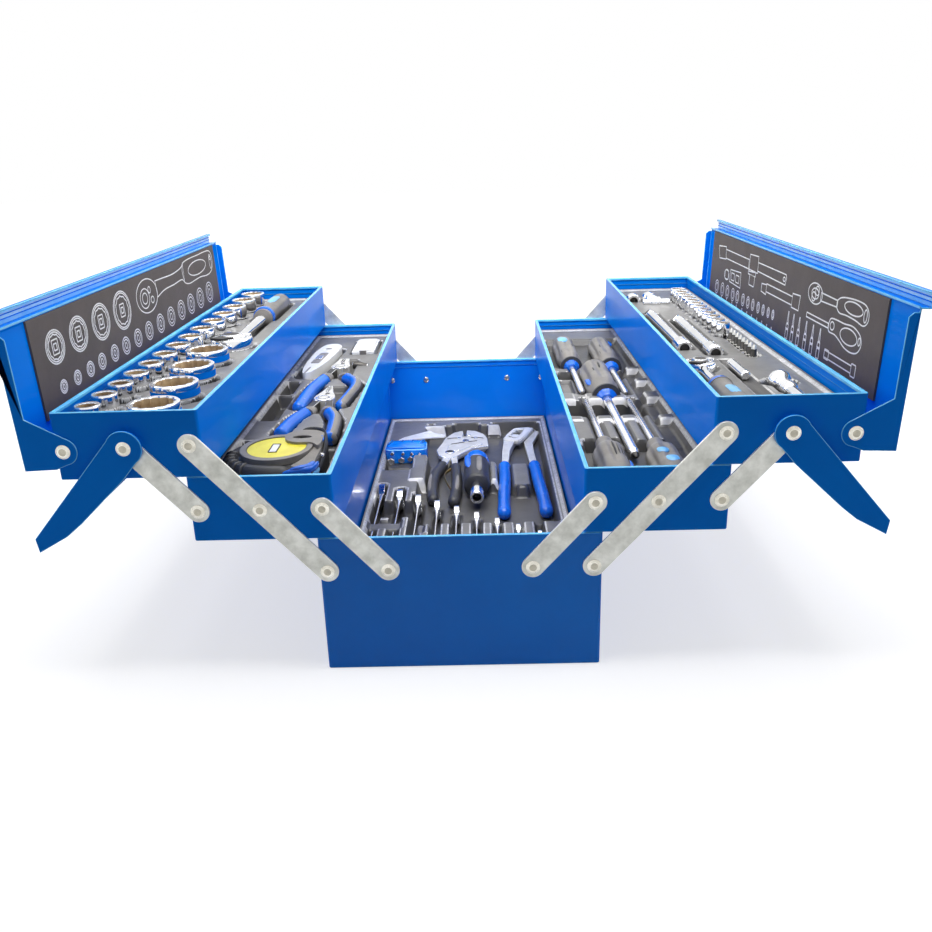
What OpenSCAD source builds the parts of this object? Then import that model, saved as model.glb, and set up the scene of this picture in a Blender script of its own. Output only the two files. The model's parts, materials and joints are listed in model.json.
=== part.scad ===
// Five-tray cantilever tool box of painted sheet steel, standing open, with its tool kit.
// Millimetres. X runs across the box, Y along it, Z up; the origin is under the middle of the base.

/* [Box] */
// Length of every tray, from end wall to end wall
box_l = 530; // [500:5:600]
// Width of the base tray
base_w = 200; // [196:1:204]
// Height of the base tray
base_h = 105; // [100:1:130]
// Thickness of the tray and lid sheet
sheet = 1; // [0.8:0.1:1.2]
// Depth of the folded hem along every tray rim
hem_h = 8; // [4:1:10]
// Radius of the trays' upright corners
corner_r = 2.3; // [2.2:0.1:2.8]

/* [Trays] */
// Height of the upper trays
tray_h = 47.7; // [47:0.1:52]
// Space between neighbouring trays when the box is shut
fold_gap = 0.3; // [0.2:0.1:0.6]

/* [Linkage] */
// Height of the link pivots above the floor of an upper tray
pivot_up = 23.2; // [22:0.1:25]
// Distance of the outer pivot from the outer wall of its tray
pivot_edge = 6; // [5.8:0.1:6.4]
// Distance between the two link pivots of one tray
pivot_pitch = 43; // [42:0.5:44]
// How far each tray stands out to the side of the one below it when open
reach = 43; // [41:0.5:44]
// Width of the link bars
link_w = 16; // [14:0.5:16]
// Thickness of the link bars
link_t = 2; // [1.5:0.1:2.5]
// Side clearance of a link from the tray wall behind it
link_gap = 0.3; // [0.2:0.05:0.5]

/* [Rivets] */
// Radius of the rivet shanks
rivet_r = 3; // [2.5:0.1:3.5]
// Radius of the rivet heads
head_r = 5.2; // [4.8:0.1:6]
// Height of the rivet heads
head_h = 1.2; // [0.8:0.1:1.5]
// Clearance of a rivet in the wall that it is closed on
rivet_seat = 0.02; // [0.01:0.01:0.05]
// Running clearance of a turning bore on its rivet
run_fit = 0.05; // [0.03:0.01:0.1]
// Clearance of the two bores of each linkage that close the loop
loop_fit = 0.3; // [0.2:0.05:0.4]
// Side play under a rivet head
head_play = 0.12; // [0.1:0.01:0.2]

/* [Lids] */
// How far the lid skirt hangs outside its tray wall
skirt_out = 6.5; // [6:0.1:7]
// Depth of the lid's end ears
ear_h = 7.5; // [6:0.5:9]
// Radius of the lid ear round its rivet
ear_r = 9.7; // [9:0.1:10]
// Clearance of the lid above the rim
lid_lift = 0.9; // [0.9:0.1:1.2]
// Width of the raised ridge along the lid's free edge
ridge_w = 10; // [8:0.5:12]
// Height of that ridge above the lid
ridge_h = 8; // [6:0.5:10]
// Angle through which a lid opens
lid_travel = 92; // [90:0.5:93]
// Thickness of the tool card in the lid
card_t = 1.5; // [1.2:0.1:2]
// How far the lid pivot sits below the link pivots
lid_drop = 2.6; // [2:0.1:3]

/* [Handles] */
// Thickness of the handle sheet
arm_t = 2; // [1.5:0.1:2.5]
// Half the width of a handle arm
arm_half = 12; // [11:0.5:12]
// Distance from the pivot to the tip of the grip
arm_l = 103; // [100:1:104]
// Angle at which a lowered handle hangs out from upright
handle_hang = 41; // [41:0.5:44]
// Thickness of the folded grip channel
grip_t = 1.5; // [1.2:0.1:2]
// Clearance between the handle arm and the rivet heads it passes over
arm_gap = 0.3; // [0.2:0.05:0.5]

/* [Inserts] */
// Height of the moulded insert's rim in the base tray
base_deck = 28; // [27:0.5:30]
// Height of the moulded insert's rim in the middle trays
mid_deck = 33; // [32:0.5:34]
// Height of the moulded insert's rim in the top trays
top_deck = 32; // [31:0.5:33]
// Clearance of an insert from the hem of its tray
insert_fit = 0.5; // [0.3:0.1:1]
// Width of the raised lip round an insert
lip_w = 5; // [4:0.5:6]
// Height of that lip above the insert's deck
lip_h = 1.5; // [1:0.1:2]
// Clearance of a recess round its tool
recess_fit = 1; // [0.6:0.1:1.2]

/* [Hidden] */
$fn = 48;

paint = "#1668d8";
paint_dark = "#2a4a8c";
zinc = "#c0c0b8";
black = "#303032";
card_grey = "#685f5c";
chrome = "#c8ccd0";
tool_blue = "#1e5fd0";

// End walls and the planes outside them
end_y = box_l / 2;
link_y = end_y + link_gap;
head_y = link_y + link_t + head_play;
arm_y = head_y + head_h + arm_gap;
ear_y = end_y + link_gap;

// Peened rivet tails, clear of the round corners inside the trays
tail_r = min(rivet_r + 1, pivot_edge - corner_r - 0.1);
tail_h = 1;

// Upper trays
tray_w = base_w / 2 - fold_gap;
rise = tray_h + fold_gap;
mid_z = base_h + fold_gap;
top_z = mid_z + rise;
mid_x = -(base_w / 2 + 2 * reach - tray_w / 2);
top_x = mid_x - 2 * reach;

// Pivots of the left side, as [x, z]; the right side is their mirror image
P1 = [-base_w / 2 + pivot_edge, mid_z + pivot_up - rise];
P2 = P1 + [pivot_pitch, 0];
M1 = P1 + [-reach, rise];
M2 = P2 + [-reach, rise];
M3 = M1 - [pivot_pitch, 0];
T1 = M1 + [-reach, rise];
T2 = T1 - [pivot_pitch, 0];
TL = T2 - [pivot_pitch, lid_drop];

// Lid outline in its shut position, measured from its own pivot
rim_up = tray_h - pivot_up + lid_drop;
lid_low = rim_up + lid_lift;
lid_top = lid_low + sheet;
skirt_x = -pivot_edge - skirt_out;
skirt_drop = pivot_edge + 0.9;
lid_end = base_w / 2 - pivot_edge - fold_gap;
ridge_x = lid_end - ridge_w;
ear_start = 24;
ear_end = ridge_x - 3;
lid_y = ear_y + sheet;
card_x0 = 10.5;
card_x1 = ridge_x - 1.5;
card_y0 = -end_y + 40;
card_y1 = end_y - 20;
padlock_y = -end_y + 18;
padlock_r = 3.2;

// Inserts
insert_l = box_l - 4 * sheet - 2 * insert_fit;
side_insert_w = tray_w - 4 * sheet - 2 * insert_fit;
base_floor = sheet;
mid_floor = mid_z + sheet;
top_floor = top_z + sheet;
base_top = base_floor + base_deck;
top_top = top_floor + top_deck;

// ---------------------------------------------------------------- helpers

// A flat outline drawn in X and Z, thickened along Y from y0
module plate(y0, t) {
    translate([0, y0 + t, 0]) rotate([90, 0, 0]) linear_extrude(t) children();
}

// The same outline outside both end walls
module end_plates(y0, t) {
    plate(y0, t) children();
    plate(-y0 - t, t) children();
}

module round_rect(w, l, r) {
    square([w - 2 * r, l], center = true);
    square([w, l - 2 * r], center = true);
    for (sx = [-1, 1], sy = [-1, 1])
        translate([sx * (w / 2 - r), sy * (l / 2 - r)]) circle(r);
}

// A flat bar from p to q with round ends of width w; waist is the bar's own width
module bar_2d(p, q, w, waist) {
    d = q - p;
    translate(p) circle(w / 2);
    translate(q) circle(w / 2);
    translate(p) rotate(atan2(d[1], d[0])) translate([0, -waist / 2]) square([norm(d), waist]);
}

// The same bar with a slight waist, as forged and moulded bars have
module waisted_bar(p, q, w) bar_2d(p, q, w, w * 0.97);

// A moulded grip along a path at one height, widest in the middle of its thickness
module grip_bar(path, z, r) {
    heights = [-1, -0.8, -0.45, 0.45, 0.8, 1];
    half_widths = [0.6, 0.88, 1, 0.88, 0.6];
    for (i = [0:4], k = [0:len(path) - 2])
        translate([0, 0, z + r * heights[i]]) linear_extrude(r * (heights[i + 1] - heights[i]))
            waisted_bar(path[k], path[k + 1], 2 * r * half_widths[i]);
}

// A cylinder along Y from y0 to y1
module along_y(x, y0, y1, z, r) {
    translate([x, y0, z]) rotate([-90, 0, 0]) cylinder(r = r, h = y1 - y0);
}

module slab(x0, x1, y0, y1, z0, z1) {
    translate([x0, y0, z0]) cube([x1 - x0, y1 - y0, z1 - z0]);
}

// ---------------------------------------------------------------- trays, rivets and links

// One open tray with a folded hem round its rim and bores in both end walls
module tray(cx, z0, w, h, pivots) {
    inner_r = corner_r - sheet;
    hem_r = corner_r - 2 * sheet;
    difference() {
        translate([cx, 0, z0]) linear_extrude(h) round_rect(w, box_l, corner_r);
        translate([cx, 0, z0 + sheet]) linear_extrude(h - sheet - hem_h)
            round_rect(w - 2 * sheet, box_l - 2 * sheet, inner_r);
        translate([cx, 0, z0 + sheet]) linear_extrude(h)
            round_rect(w - 4 * sheet, box_l - 4 * sheet, hem_r);
        for (p = pivots)
            along_y(p[0], -end_y - 1, end_y + 1, p[1], rivet_r + rivet_seat);
    }
}

// A rivet in each end wall, with its tail inside and its head at head_at
module rivet_pair(p, head_at) {
    for (s = [-1, 1])
        translate([p[0], s * end_y, p[1]]) rotate([-90 * s, 0, 0]) {
            translate([0, 0, -sheet - tail_h]) cylinder(r = tail_r, h = tail_h);
            translate([0, 0, -sheet]) cylinder(r = rivet_r, h = sheet + head_at - end_y);
            translate([0, 0, head_at - end_y]) {
                cylinder(r = head_r, h = head_h * 0.4);
                translate([0, 0, head_h * 0.4])
                    cylinder(r1 = head_r, r2 = head_r * 0.62, h = head_h * 0.6);
            }
        }
}

// A link bar outside both end walls, bored at each [pivot, clearance]
module links(p, q, bores) {
    end_plates(link_y, link_t) difference() {
        bar_2d(p, q, link_w, link_w);
        for (b = bores) translate(b[0]) circle(rivet_r + b[1]);
    }
}

module long_links() links(P1, T1, [[P1, run_fit], [M1, run_fit], [T1, run_fit]]);
module short_links() links(P2, M2, [[P2, run_fit], [M2, loop_fit]]);
module upper_links() links(M3, T2, [[M3, run_fit], [T2, loop_fit]]);

module mid_tray() tray(mid_x, mid_z, tray_w, tray_h, [M1, M2, M3]);
module top_tray() tray(top_x, top_z, tray_w, tray_h, [T1, T2, TL]);
module mid_rivets() for (p = [M1, M2, M3]) rivet_pair(p, head_y);
module top_rivets() {
    rivet_pair(T1, head_y);
    rivet_pair(T2, arm_y + arm_t + head_play);
    rivet_pair(TL, ear_y + sheet + head_play);
}

// ---------------------------------------------------------------- lid, card and handle

// Everything in here is drawn for a shut lid and swung open about its rivets
module as_open_lid() {
    translate([TL[0], 0, TL[1]]) rotate([0, -lid_travel, 0]) children();
}

module lid_section() {
    translate([skirt_x, skirt_drop]) square([sheet, lid_top - skirt_drop]);
    translate([skirt_x, lid_low]) square([ridge_x - skirt_x, sheet]);
    translate([ridge_x - sheet, lid_low]) square([sheet, ridge_h + sheet]);
    translate([ridge_x - sheet, lid_top + ridge_h - sheet]) square([ridge_w + sheet, sheet]);
    translate([lid_end - sheet, lid_top + ridge_h - 4]) square([sheet, 4]);
}

module ear_outline() {
    nip = 3;
    low = lid_top - ear_h;
    difference() {
        union() {
            circle(ear_r);
            polygon([[skirt_x, skirt_drop], [skirt_x, lid_top], [ear_end, lid_top],
                [ear_end, low + nip], [ear_end - nip, low], [ear_start, low],
                [ear_r * 0.8, -ear_r * 0.6], [-ear_r * 0.83, -ear_r * 0.56]]);
        }
        circle(rivet_r + run_fit);
    }
}

module lid() {
    as_open_lid() {
        difference() {
            plate(-lid_y, 2 * lid_y) lid_section();
            translate([ridge_x + ridge_w / 2, padlock_y, lid_low]) cylinder(r = padlock_r, h = ridge_h + 5);
        }
        end_plates(ear_y, sheet) ear_outline();
    }
}

module lid_card() {
    as_open_lid() slab(card_x0, card_x1, card_y0, card_y1, lid_low - card_t, lid_low);
}

// Corners of the grip's folded channel, as [towards the box, up from the pivot]
grip_edge = [[-arm_half, -arm_l + 29], [-arm_half, -arm_l + 7], [-4, -arm_l], [4.5, -arm_l + 23]];
grip_stop = 1;

// Unit vector to the left of the way from p to q, and the inside of a fold of sheet t at q
function left_of(p, q) = [p[1] - q[1], q[0] - p[0]] / norm(q - p);
function fold_inside(p, q, r, t) =
    q + t * (left_of(p, q) + left_of(q, r)) / (1 + left_of(p, q) * left_of(q, r));

module arm_outline() {
    difference() {
        union() {
            circle(arm_half + 0.4);
            polygon([[-arm_half, 0], grip_edge[1], grip_edge[2], grip_edge[3],
                [7, -arm_l + 37], [arm_half, -19], [arm_half, 0]]);
        }
        circle(rivet_r + run_fit);
    }
}

// What is left out between the two arms, so that only the folded grip joins them
module grip_relief() {
    e = grip_edge;
    side = left_of(e[2], e[3]);
    stop = e[3] - grip_stop * (e[3] - e[2]) / norm(e[3] - e[2]);
    beyond = 2 * arm_l;
    polygon([e[0] - [beyond, 0], e[0] + [grip_t, 0], fold_inside(e[0], e[1], e[2], grip_t),
        fold_inside(e[1], e[2], e[3], grip_t), stop + grip_t * side, stop - beyond * side,
        [beyond, beyond], [-beyond, beyond]]);
}

module handle() {
    boss_r = link_w / 2 - 1;
    boss_y = head_y + 0.03;
    translate([T2[0], 0, T2[1]]) rotate([0, handle_hang, 0]) {
        difference() {
            plate(-arm_y - arm_t, 2 * (arm_y + arm_t)) arm_outline();
            plate(-arm_y, 2 * arm_y) grip_relief();
        }
        // Pressed boss that carries the arm on the link beneath it
        end_plates(boss_y, arm_y - boss_y) difference() {
            circle(boss_r);
            circle(rivet_r + run_fit);
        }
    }
}

// ---------------------------------------------------------------- moulded inserts

// A solid moulding that fills the tray under its deck, with a lip round the edge
module insert_block(cx, w, z0, h) {
    difference() {
        translate([cx, 0, z0]) linear_extrude(h) round_rect(w, insert_l, 2);
        translate([cx, 0, z0 + h - lip_h]) linear_extrude(h)
            round_rect(w - 2 * lip_w, insert_l - 2 * lip_w, 3);
    }
}

// Recess with a flat floor, open upwards
module recess(x0, x1, y0, y1, floor_z) {
    slab(x0, x1, y0, y1, floor_z, floor_z + 60);
}

// Recess round a bar-shaped tool lying from p to q
module channel(p, q, w, floor_z) {
    translate([0, 0, floor_z]) linear_extrude(60) waisted_bar(p, q, w + 2 * recess_fit);
}

// ---------------------------------------------------------------- places in the kit

// The kit's places are laid out for a box of this size, and stretch with the real one
kit_l = 530;
kit_w = 200;
function along(y) = y * box_l / kit_l;
function across(x) = x * base_w / kit_w;
function at(p) = [across(p[0]), along(p[1])];
function in_mid(p) = at(p) + [mid_x, 0];
function in_top(p) = at(p) + [top_x, 0];

// ---------------------------------------------------------------- base tray kit

wrench_n = 9;
wrench_floor = base_floor + 6;
wrench_front = along(-250);
function wrench_x(i) = across(-87 + 19.5 * i);
function wrench_back(i) = along(40 - 13.5 * i);
function wrench_ring(i) = 12 - 0.55 * i;
function wrench_t(i) = 6.4 - 0.3 * i;

// A combination wrench standing on its edge, ring at the back
module wrench(i) {
    r = wrench_ring(i);
    t = wrench_t(i);
    y0 = wrench_front + r;
    y1 = wrench_back(i) - r;
    translate([wrench_x(i), 0, wrench_floor + r]) rotate([0, 90, 0]) difference() {
        union() {
            translate([0, y1, -t / 2]) cylinder(r = r, h = t);
            translate([0, y0, -t / 2]) cylinder(r = r, h = t);
            translate([-r * 0.42, y0, -t * 0.35]) cube([r * 0.84, y1 - y0, t * 0.7]);
        }
        translate([0, y1, -t]) cylinder(r = r * 0.62, h = 2 * t);
        translate([-r * 0.45, y0 - r * 1.5, -t]) cube([r * 0.9, r * 1.5, 2 * t]);
    }
}

// The pliers lie on their grips in one wide well
well_floor = base_floor + 12;
well = [at([-50, -64]), at([88, 246])];
pump_t = 10;
pump_grip_r = 7;
pump_z = well_floor + pump_grip_r - pump_t / 2;
pump_tang = 8.5;
pump_joint = at([46, 170]);
pump_neck = at([74, 186]);
pump_a = [at([41, 108]), at([37, -32])];
pump_b = [at([75, 108]), at([79, -31])];
pump_frame = [at([42, 186]), at([58, 229]), at([79, 230]), at([62, 178])];
pump_slot = [at([50, 191]), at([62, 222]), at([71, 222]), at([59, 188])];

module pump_steel_2d() {
    difference() {
        polygon(pump_frame);
        // Slot in which the joint pin moves to set the mouth
        polygon(pump_slot);
    }
    waisted_bar(pump_joint, at([50, 190]), 13);
    waisted_bar(pump_neck, at([83, 228]), 10);
    waisted_bar(pump_joint, pump_a[0] - [0, 8], pump_tang);
    waisted_bar(pump_neck, pump_b[0] - [0, 8], pump_tang);
}

module pump_steel() translate([0, 0, pump_z]) linear_extrude(pump_t) pump_steel_2d();

module pump_grips() {
    z = pump_z + pump_t / 2;
    difference() {
        for (g = [pump_a, pump_b]) grip_bar(g, z, pump_grip_r);
        pump_steel();
    }
}

crimp_t = 9;
crimp_grip_r = 6;
crimp_z = well_floor + crimp_grip_r - crimp_t / 2;
crimp_tang = 7;
crimp_joint = at([-22, 144]);
crimp_a = [at([-26, 118]), at([-36, 60]), at([-34, 8])];
crimp_b = [at([-13, 110]), at([-11, 50]), at([-13, 2])];
crimp_head = [at([-36, 156]), at([-27, 200]), at([-17, 222]), at([-4, 230]), at([10, 226]), at([23, 205]),
    at([25, 168]), at([7, 161]), at([-10, 136]), at([-21, 124]), at([-33, 138])];
crimp_mouth = [at([-6, 240]), at([-3, 240]), at([1, 200]), at([-7, 200])];

module crimp_steel() translate([0, 0, crimp_z]) linear_extrude(crimp_t) {
    difference() {
        polygon(crimp_head);
        polygon(crimp_mouth);
    }
    waisted_bar(crimp_joint, crimp_a[0] - [1, 6], crimp_tang);
    waisted_bar(crimp_joint, crimp_b[0] - [0, 6], crimp_tang);
}

module crimp_grips() {
    z = crimp_z + crimp_t / 2;
    difference() {
        for (g = [crimp_a, crimp_b]) grip_bar(g, z, crimp_grip_r);
        crimp_steel();
    }
}

stub_x = across(11);
stub_r = 14;
stub_z = well_floor + stub_r;
stub_y = [along(-3), along(27), along(113)];
stub_bore = 6;
stub_drive = 3.4;

module stub_grip() difference() {
    along_y(stub_x, stub_y[1], stub_y[2], stub_z, stub_r);
    along_y(stub_x, stub_y[1] - 1, stub_y[1] + 22, stub_z, stub_bore);
}

module stub_socket() difference() {
    along_y(stub_x, stub_y[0], stub_y[1] + 22, stub_z, stub_bore);
    along_y(stub_x, stub_y[0] - 1, stub_y[0] + 14, stub_z, stub_drive);
}

hex_at = [at([-94, 132]), at([-46, 162])];
hex_floor = well_floor + 3;
hex_h = 21;
hex_n = 8;

// The eight keys of the holder in two rows, reaching out by front
module hex_bores(front) {
    pitch = (hex_at[1][0] - hex_at[0][0]) / 4;
    for (i = [0:hex_n - 1]) {
        row = floor(i / 4);
        along_y(hex_at[0][0] + pitch * (i % 4 + 0.5), hex_at[0][1] - front, hex_at[0][1] + 20,
            hex_floor + 6 + 8.5 * row, (i < 4 ? 2.9 : 1.8) - 0.2 * (i % 4));
    }
}

module hex_holder() difference() {
    slab(hex_at[0][0], hex_at[1][0], hex_at[0][1], hex_at[1][1], hex_floor, hex_floor + hex_h);
    translate([hex_at[0][0] - 1, hex_at[1][1], hex_floor + hex_h]) rotate([45, 0, 0])
        cube([hex_at[1][0] - hex_at[0][0] + 2, 10, 10]);
    hex_bores(0.5);
}

saw_t = 1.4;
saw_outline = [at([-82, 180]), at([-76, 190]), at([-46, 214]), at([-40, 204]), at([-26, 198]),
    at([-28, 190]), at([-60, 184])];

module saw() translate([0, 0, base_top - lip_h]) linear_extrude(saw_t) polygon(saw_outline);

module base_kit_recesses() {
    for (i = [0:wrench_n - 1]) {
        half = wrench_t(i) / 2 + recess_fit;
        recess(wrench_x(i) - half, wrench_x(i) + half, wrench_front - recess_fit,
            wrench_back(i) + recess_fit, wrench_floor);
    }
    // One wide well under both pairs of pliers and the stub driver
    recess(well[0][0], well[1][0], well[0][1], well[1][1], well_floor);
    // Cross trench that lets fingers in under the wrenches
    recess(across(-92), across(-49), along(-46), along(-8), well_floor);
    recess(hex_at[0][0] - 2, hex_at[1][0] + 2, hex_at[0][1] - 8, hex_at[1][1] + 2, hex_floor);
    recess(across(-91), across(-57), along(84), hex_at[0][1] - 4, base_floor + 6);
}

// Ribs left standing in the well: beside the stub driver, between the pump grips, and at the back wall
module base_ribs() {
    rib_top = base_top - lip_h;
    slab(across(53), across(64), along(28), along(46), well_floor, rib_top - 2);
    slab(across(25.5), across(31), along(42), along(104), well_floor, rib_top);
    slab(across(-43), across(-18), along(238), along(246), well_floor, rib_top);
    slab(across(15), across(31), along(238), along(246), well_floor, rib_top);
}

// ---------------------------------------------------------------- middle tray kits

tape_at = in_mid([-4, -198]);
tape_r = 36;
tape_floor = mid_floor + 11.5;
tape_h = 34;
tape_corner = tape_at + [36, 50];

module tape_outline() {
    translate(tape_at) circle(tape_r);
    translate(tape_at + [-10, -tape_r]) square([46, tape_r * 2]);
    translate(tape_corner + [-36, -34]) square([28, 36]);
    translate(tape_corner + [-8, -20]) square([8, 14]);
}

module tape_mouth(x0, x1, y0, z0, z1) {
    slab(tape_corner[0] + x0, tape_corner[0] + x1, tape_at[1] - tape_r + y0, tape_at[1] - tape_r + 9,
        tape_floor + z0, tape_floor + z1);
}

module tape_case() difference() {
    union() {
        translate([0, 0, tape_floor]) linear_extrude(tape_h - 2) tape_outline();
        translate([tape_at[0] + 2, tape_at[1] - 4, tape_floor + tape_h - 2]) cylinder(r = 27, h = 1.2);
    }
    tape_mouth(-14, 1, -1, 3, 24);
}

module tape_hook() tape_mouth(-12, -10.8, -1.5, 4, 23);

plier_floor = mid_floor + 24;
plier_t = 10;
plier_z = plier_floor + plier_t / 2;
plier_grip_r = 6.6;
plier_tang = 7;
plier_a = in_mid([4, 100]);
plier_a_jaw = 36;
plier_a_left = [[-10, -34], [-18, -92], [-19, -146]];
plier_a_right = [[9, -33], [26, -70], [22, -121], [20, -144]];
plier_b = in_mid([6, -24]);
plier_b_jaw = 44;
plier_b_left = [[-9, -32], [-18, -58], [-22, -98]];
plier_b_right = [[9, -32], [20, -68], [23, -112]];

module plier_head(jaw_l, jaw_w) difference() {
    union() {
        circle(10);
        polygon([[-10, 0], [-jaw_w / 2, jaw_l], [jaw_w / 2, jaw_l], [10, 0]]);
        for (s = [-1, 1]) waisted_bar([0, 0], [9 * s, -34], plier_tang);
    }
    translate([-0.4, 9]) square([0.8, jaw_l]);
}

module plier_solid(place, jaw_l, jaw_w) {
    translate([place[0], place[1], plier_floor]) linear_extrude(plier_t) plier_head(jaw_l, jaw_w);
}

module both_plier_heads() {
    plier_solid(plier_a, plier_a_jaw, 11);
    plier_solid(plier_b, plier_b_jaw, 4);
}

// Both grips of a pair of pliers: each path starts at the joint, and stretches along the box
function grip_path(place, way) = [for (p = way) place + [p[0], along(p[1])]];
plier_paths = [grip_path(plier_a, plier_a_left), grip_path(plier_a, plier_a_right),
    grip_path(plier_b, plier_b_left), grip_path(plier_b, plier_b_right)];

module both_plier_grips() difference() {
    for (way = plier_paths) grip_bar(way, plier_z, plier_grip_r);
    both_plier_heads();
}

knife_floor = mid_floor + 24;
knife_p = in_mid([-26, 73]);
knife_q = in_mid([-17, 187]);
knife_w = 26;
knife_h = 15;

module knife() translate([0, 0, knife_floor]) linear_extrude(knife_h)
    waisted_bar(knife_p, knife_q, knife_w);

case_floor = mid_floor + 22;
case_h = 13;
case_at = [in_mid([7, 168]), in_mid([33, 236])];
module spare_blade_case()
    slab(case_at[0][0], case_at[1][0], case_at[0][1], case_at[1][1], case_floor, case_floor + case_h);

module left_mid_recesses() {
    side_floor = mid_floor + 18;
    recess(tape_at[0] - 40, tape_at[0] + 40, tape_at[1] - 38, tape_at[1] + 56, tape_floor);
    for (way = plier_paths, i = [0:len(way) - 2])
        channel(way[i], way[i + 1], 2 * plier_grip_r, plier_z - plier_grip_r);
    for (place = [plier_a, plier_b]) {
        jaw = place == plier_a ? plier_a_jaw : plier_b_jaw;
        recess(place[0] - 14, place[0] + 14, place[1] - 42, place[1] + jaw + 4, plier_floor);
    }
    channel(knife_p, knife_q, knife_w, knife_floor);
    recess(case_at[0][0] - 1, case_at[1][0] + 1, case_at[0][1] - 1, case_at[1][1] + 1, case_floor);
    // Empty pockets beside the grips
    recess(in_mid([-43, 0])[0], in_mid([-27, 0])[0], along(-84), along(-6), side_floor);
    recess(in_mid([-43, 0])[0], in_mid([-30, 0])[0], along(2), along(46), side_floor);
}

// Screwdrivers as [x from the tray's middle, handle end y, handle start y, tip y, handle radius, blade radius]
driver_rows = [
    [-17, 183, 75, -30, 13, 3],
    [23, 193, 85, -23, 13, 3],
    [3, 65, -36, -199, 15.5, 4],
    [-16, -250, -171, -42, 13, 3],
    [23, -250, -165, -38, 13, 3]
];
drivers = [for (d = driver_rows)
    [mid_x + across(d[0]), along(d[1]), along(d[2]), along(d[3]), d[4], d[5]]];
driver_z = mid_floor + 30;
tang_l = 20;

module driver_rod(d, y0, y1, r) along_y(d[0], min(y0, y1), max(y0, y1), driver_z, r);

module driver_blade(d) {
    s = sign(d[1] - d[2]);
    driver_rod(d, d[2] + s * tang_l, d[3] + s * 8, d[5]);
    translate([d[0], d[3] + s * 8, driver_z]) rotate([90 * s, 0, 0])
        cylinder(r1 = d[5], r2 = d[5] * 0.4, h = 8);
}

module driver_collar(d) {
    s = sign(d[1] - d[2]);
    difference() {
        driver_rod(d, d[2], d[2] - s * 7, d[4] * 0.72);
        driver_rod(d, d[2] + s, d[2] - s * 8, d[5]);
    }
}

module driver_handle(d) {
    s = sign(d[1] - d[2]);
    neck = d[2] + s * 14;
    difference() {
        union() {
            driver_rod(d, d[2] + s * 24, d[1] - s * 6, d[4]);
            driver_rod(d, d[2], neck, d[4] * 0.8);
            translate([d[0], neck, driver_z]) rotate([-90 * s, 0, 0])
                cylinder(r1 = d[4] * 0.8, r2 = d[4], h = 10);
            translate([d[0], d[1] - s * 6, driver_z]) rotate([-90 * s, 0, 0])
                cylinder(r1 = d[4], r2 = d[4] * 0.75, h = 6);
        }
        driver_rod(d, d[2] - s, d[2] + s * tang_l, d[5]);
    }
}

module right_mid_recesses() {
    trench_floor = mid_floor + 12;
    for (d = drivers) {
        s = sign(d[1] - d[2]);
        y0 = min(d[2] - s * 8, d[1] + s * recess_fit);
        y1 = max(d[2] - s * 8, d[1] + s * recess_fit);
        recess(d[0] - d[4] - recess_fit, d[0] + d[4] + recess_fit, y0, y1, driver_z - d[4]);
        recess(d[0] - d[5] - recess_fit, d[0] + d[5] + recess_fit,
            min(d[3] - s, y0), max(d[3] - s, y1), driver_z - d[5]);
    }
    // Cross trenches that let fingers in under the blades
    for (y = [[-94, -48], [32, 60]])
        recess(in_mid([-39, 0])[0], in_mid([40, 0])[0], along(y[0]), along(y[1]), trench_floor);
}

// ---------------------------------------------------------------- top tray kits

socket_top = top_floor + tray_h - sheet - 2.8;
socket_floor = top_floor + 14;

module socket(x, y, r, floor_z, top_z) {
    h = top_z - floor_z;
    translate([x, y, floor_z]) difference() {
        union() {
            cylinder(r = r - 1.2, h = h);
            cylinder(r = r, h = h * 0.35);
            translate([0, 0, h * 0.6]) cylinder(r = r, h = h * 0.4);
        }
        translate([0, 0, h * 0.45]) cylinder(r = r - 2.6, h = h);
    }
}

small_n = 14;
function small_r(i) = 9 + 0.38 * i;
function small_y(i) = along(-236 + 30 * i + 0.56 * i * (i - 1));
function small_x(i) = top_x - tray_w / 2 + 2 * sheet + 3.2 + small_r(i);
module small_socket_row() for (i = [0:small_n - 1])
    socket(small_x(i), small_y(i), small_r(i), socket_floor, socket_top);

large_n = 4;
large_r = 18.5;
function large_at(i) = in_top([10 - 3.5 * i, -233 + 57 * i]);
module large_socket_row() for (i = [0:large_n - 1])
    socket(large_at(i)[0], large_at(i)[1], large_r, socket_floor, socket_top);

ratchet_at = in_top([4, 5]);
ratchet_head_r = 20;
ratchet_z = top_top + 0.5;
ratchet_grip_r = 12;
ratchet_grip = [along(134), along(240)];
ratchet_neck_r = 6.5;
ratchet_floor = ratchet_z - ratchet_grip_r;

module ratchet() {
    translate([ratchet_at[0], ratchet_at[1], ratchet_z]) {
        translate([0, 0, -7]) cylinder(r = ratchet_head_r, h = 15);
        translate([0, 0, 8]) cylinder(r = 10, h = 2.5);
        translate([0, 0, -12]) cylinder(r = 8, h = 5);
    }
    along_y(ratchet_at[0], ratchet_at[1] + 14, ratchet_grip[0] + 30, ratchet_z, ratchet_neck_r);
}

module ratchet_grip_solid() difference() {
    union() {
        along_y(ratchet_at[0], ratchet_grip[0] + 6, ratchet_grip[1], ratchet_z, ratchet_grip_r);
        along_y(ratchet_at[0], ratchet_grip[0], ratchet_grip[0] + 6, ratchet_z, ratchet_grip_r * 0.86);
    }
    along_y(ratchet_at[0], ratchet_grip[0] - 1, ratchet_grip[0] + 30, ratchet_z, ratchet_neck_r);
}

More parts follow.
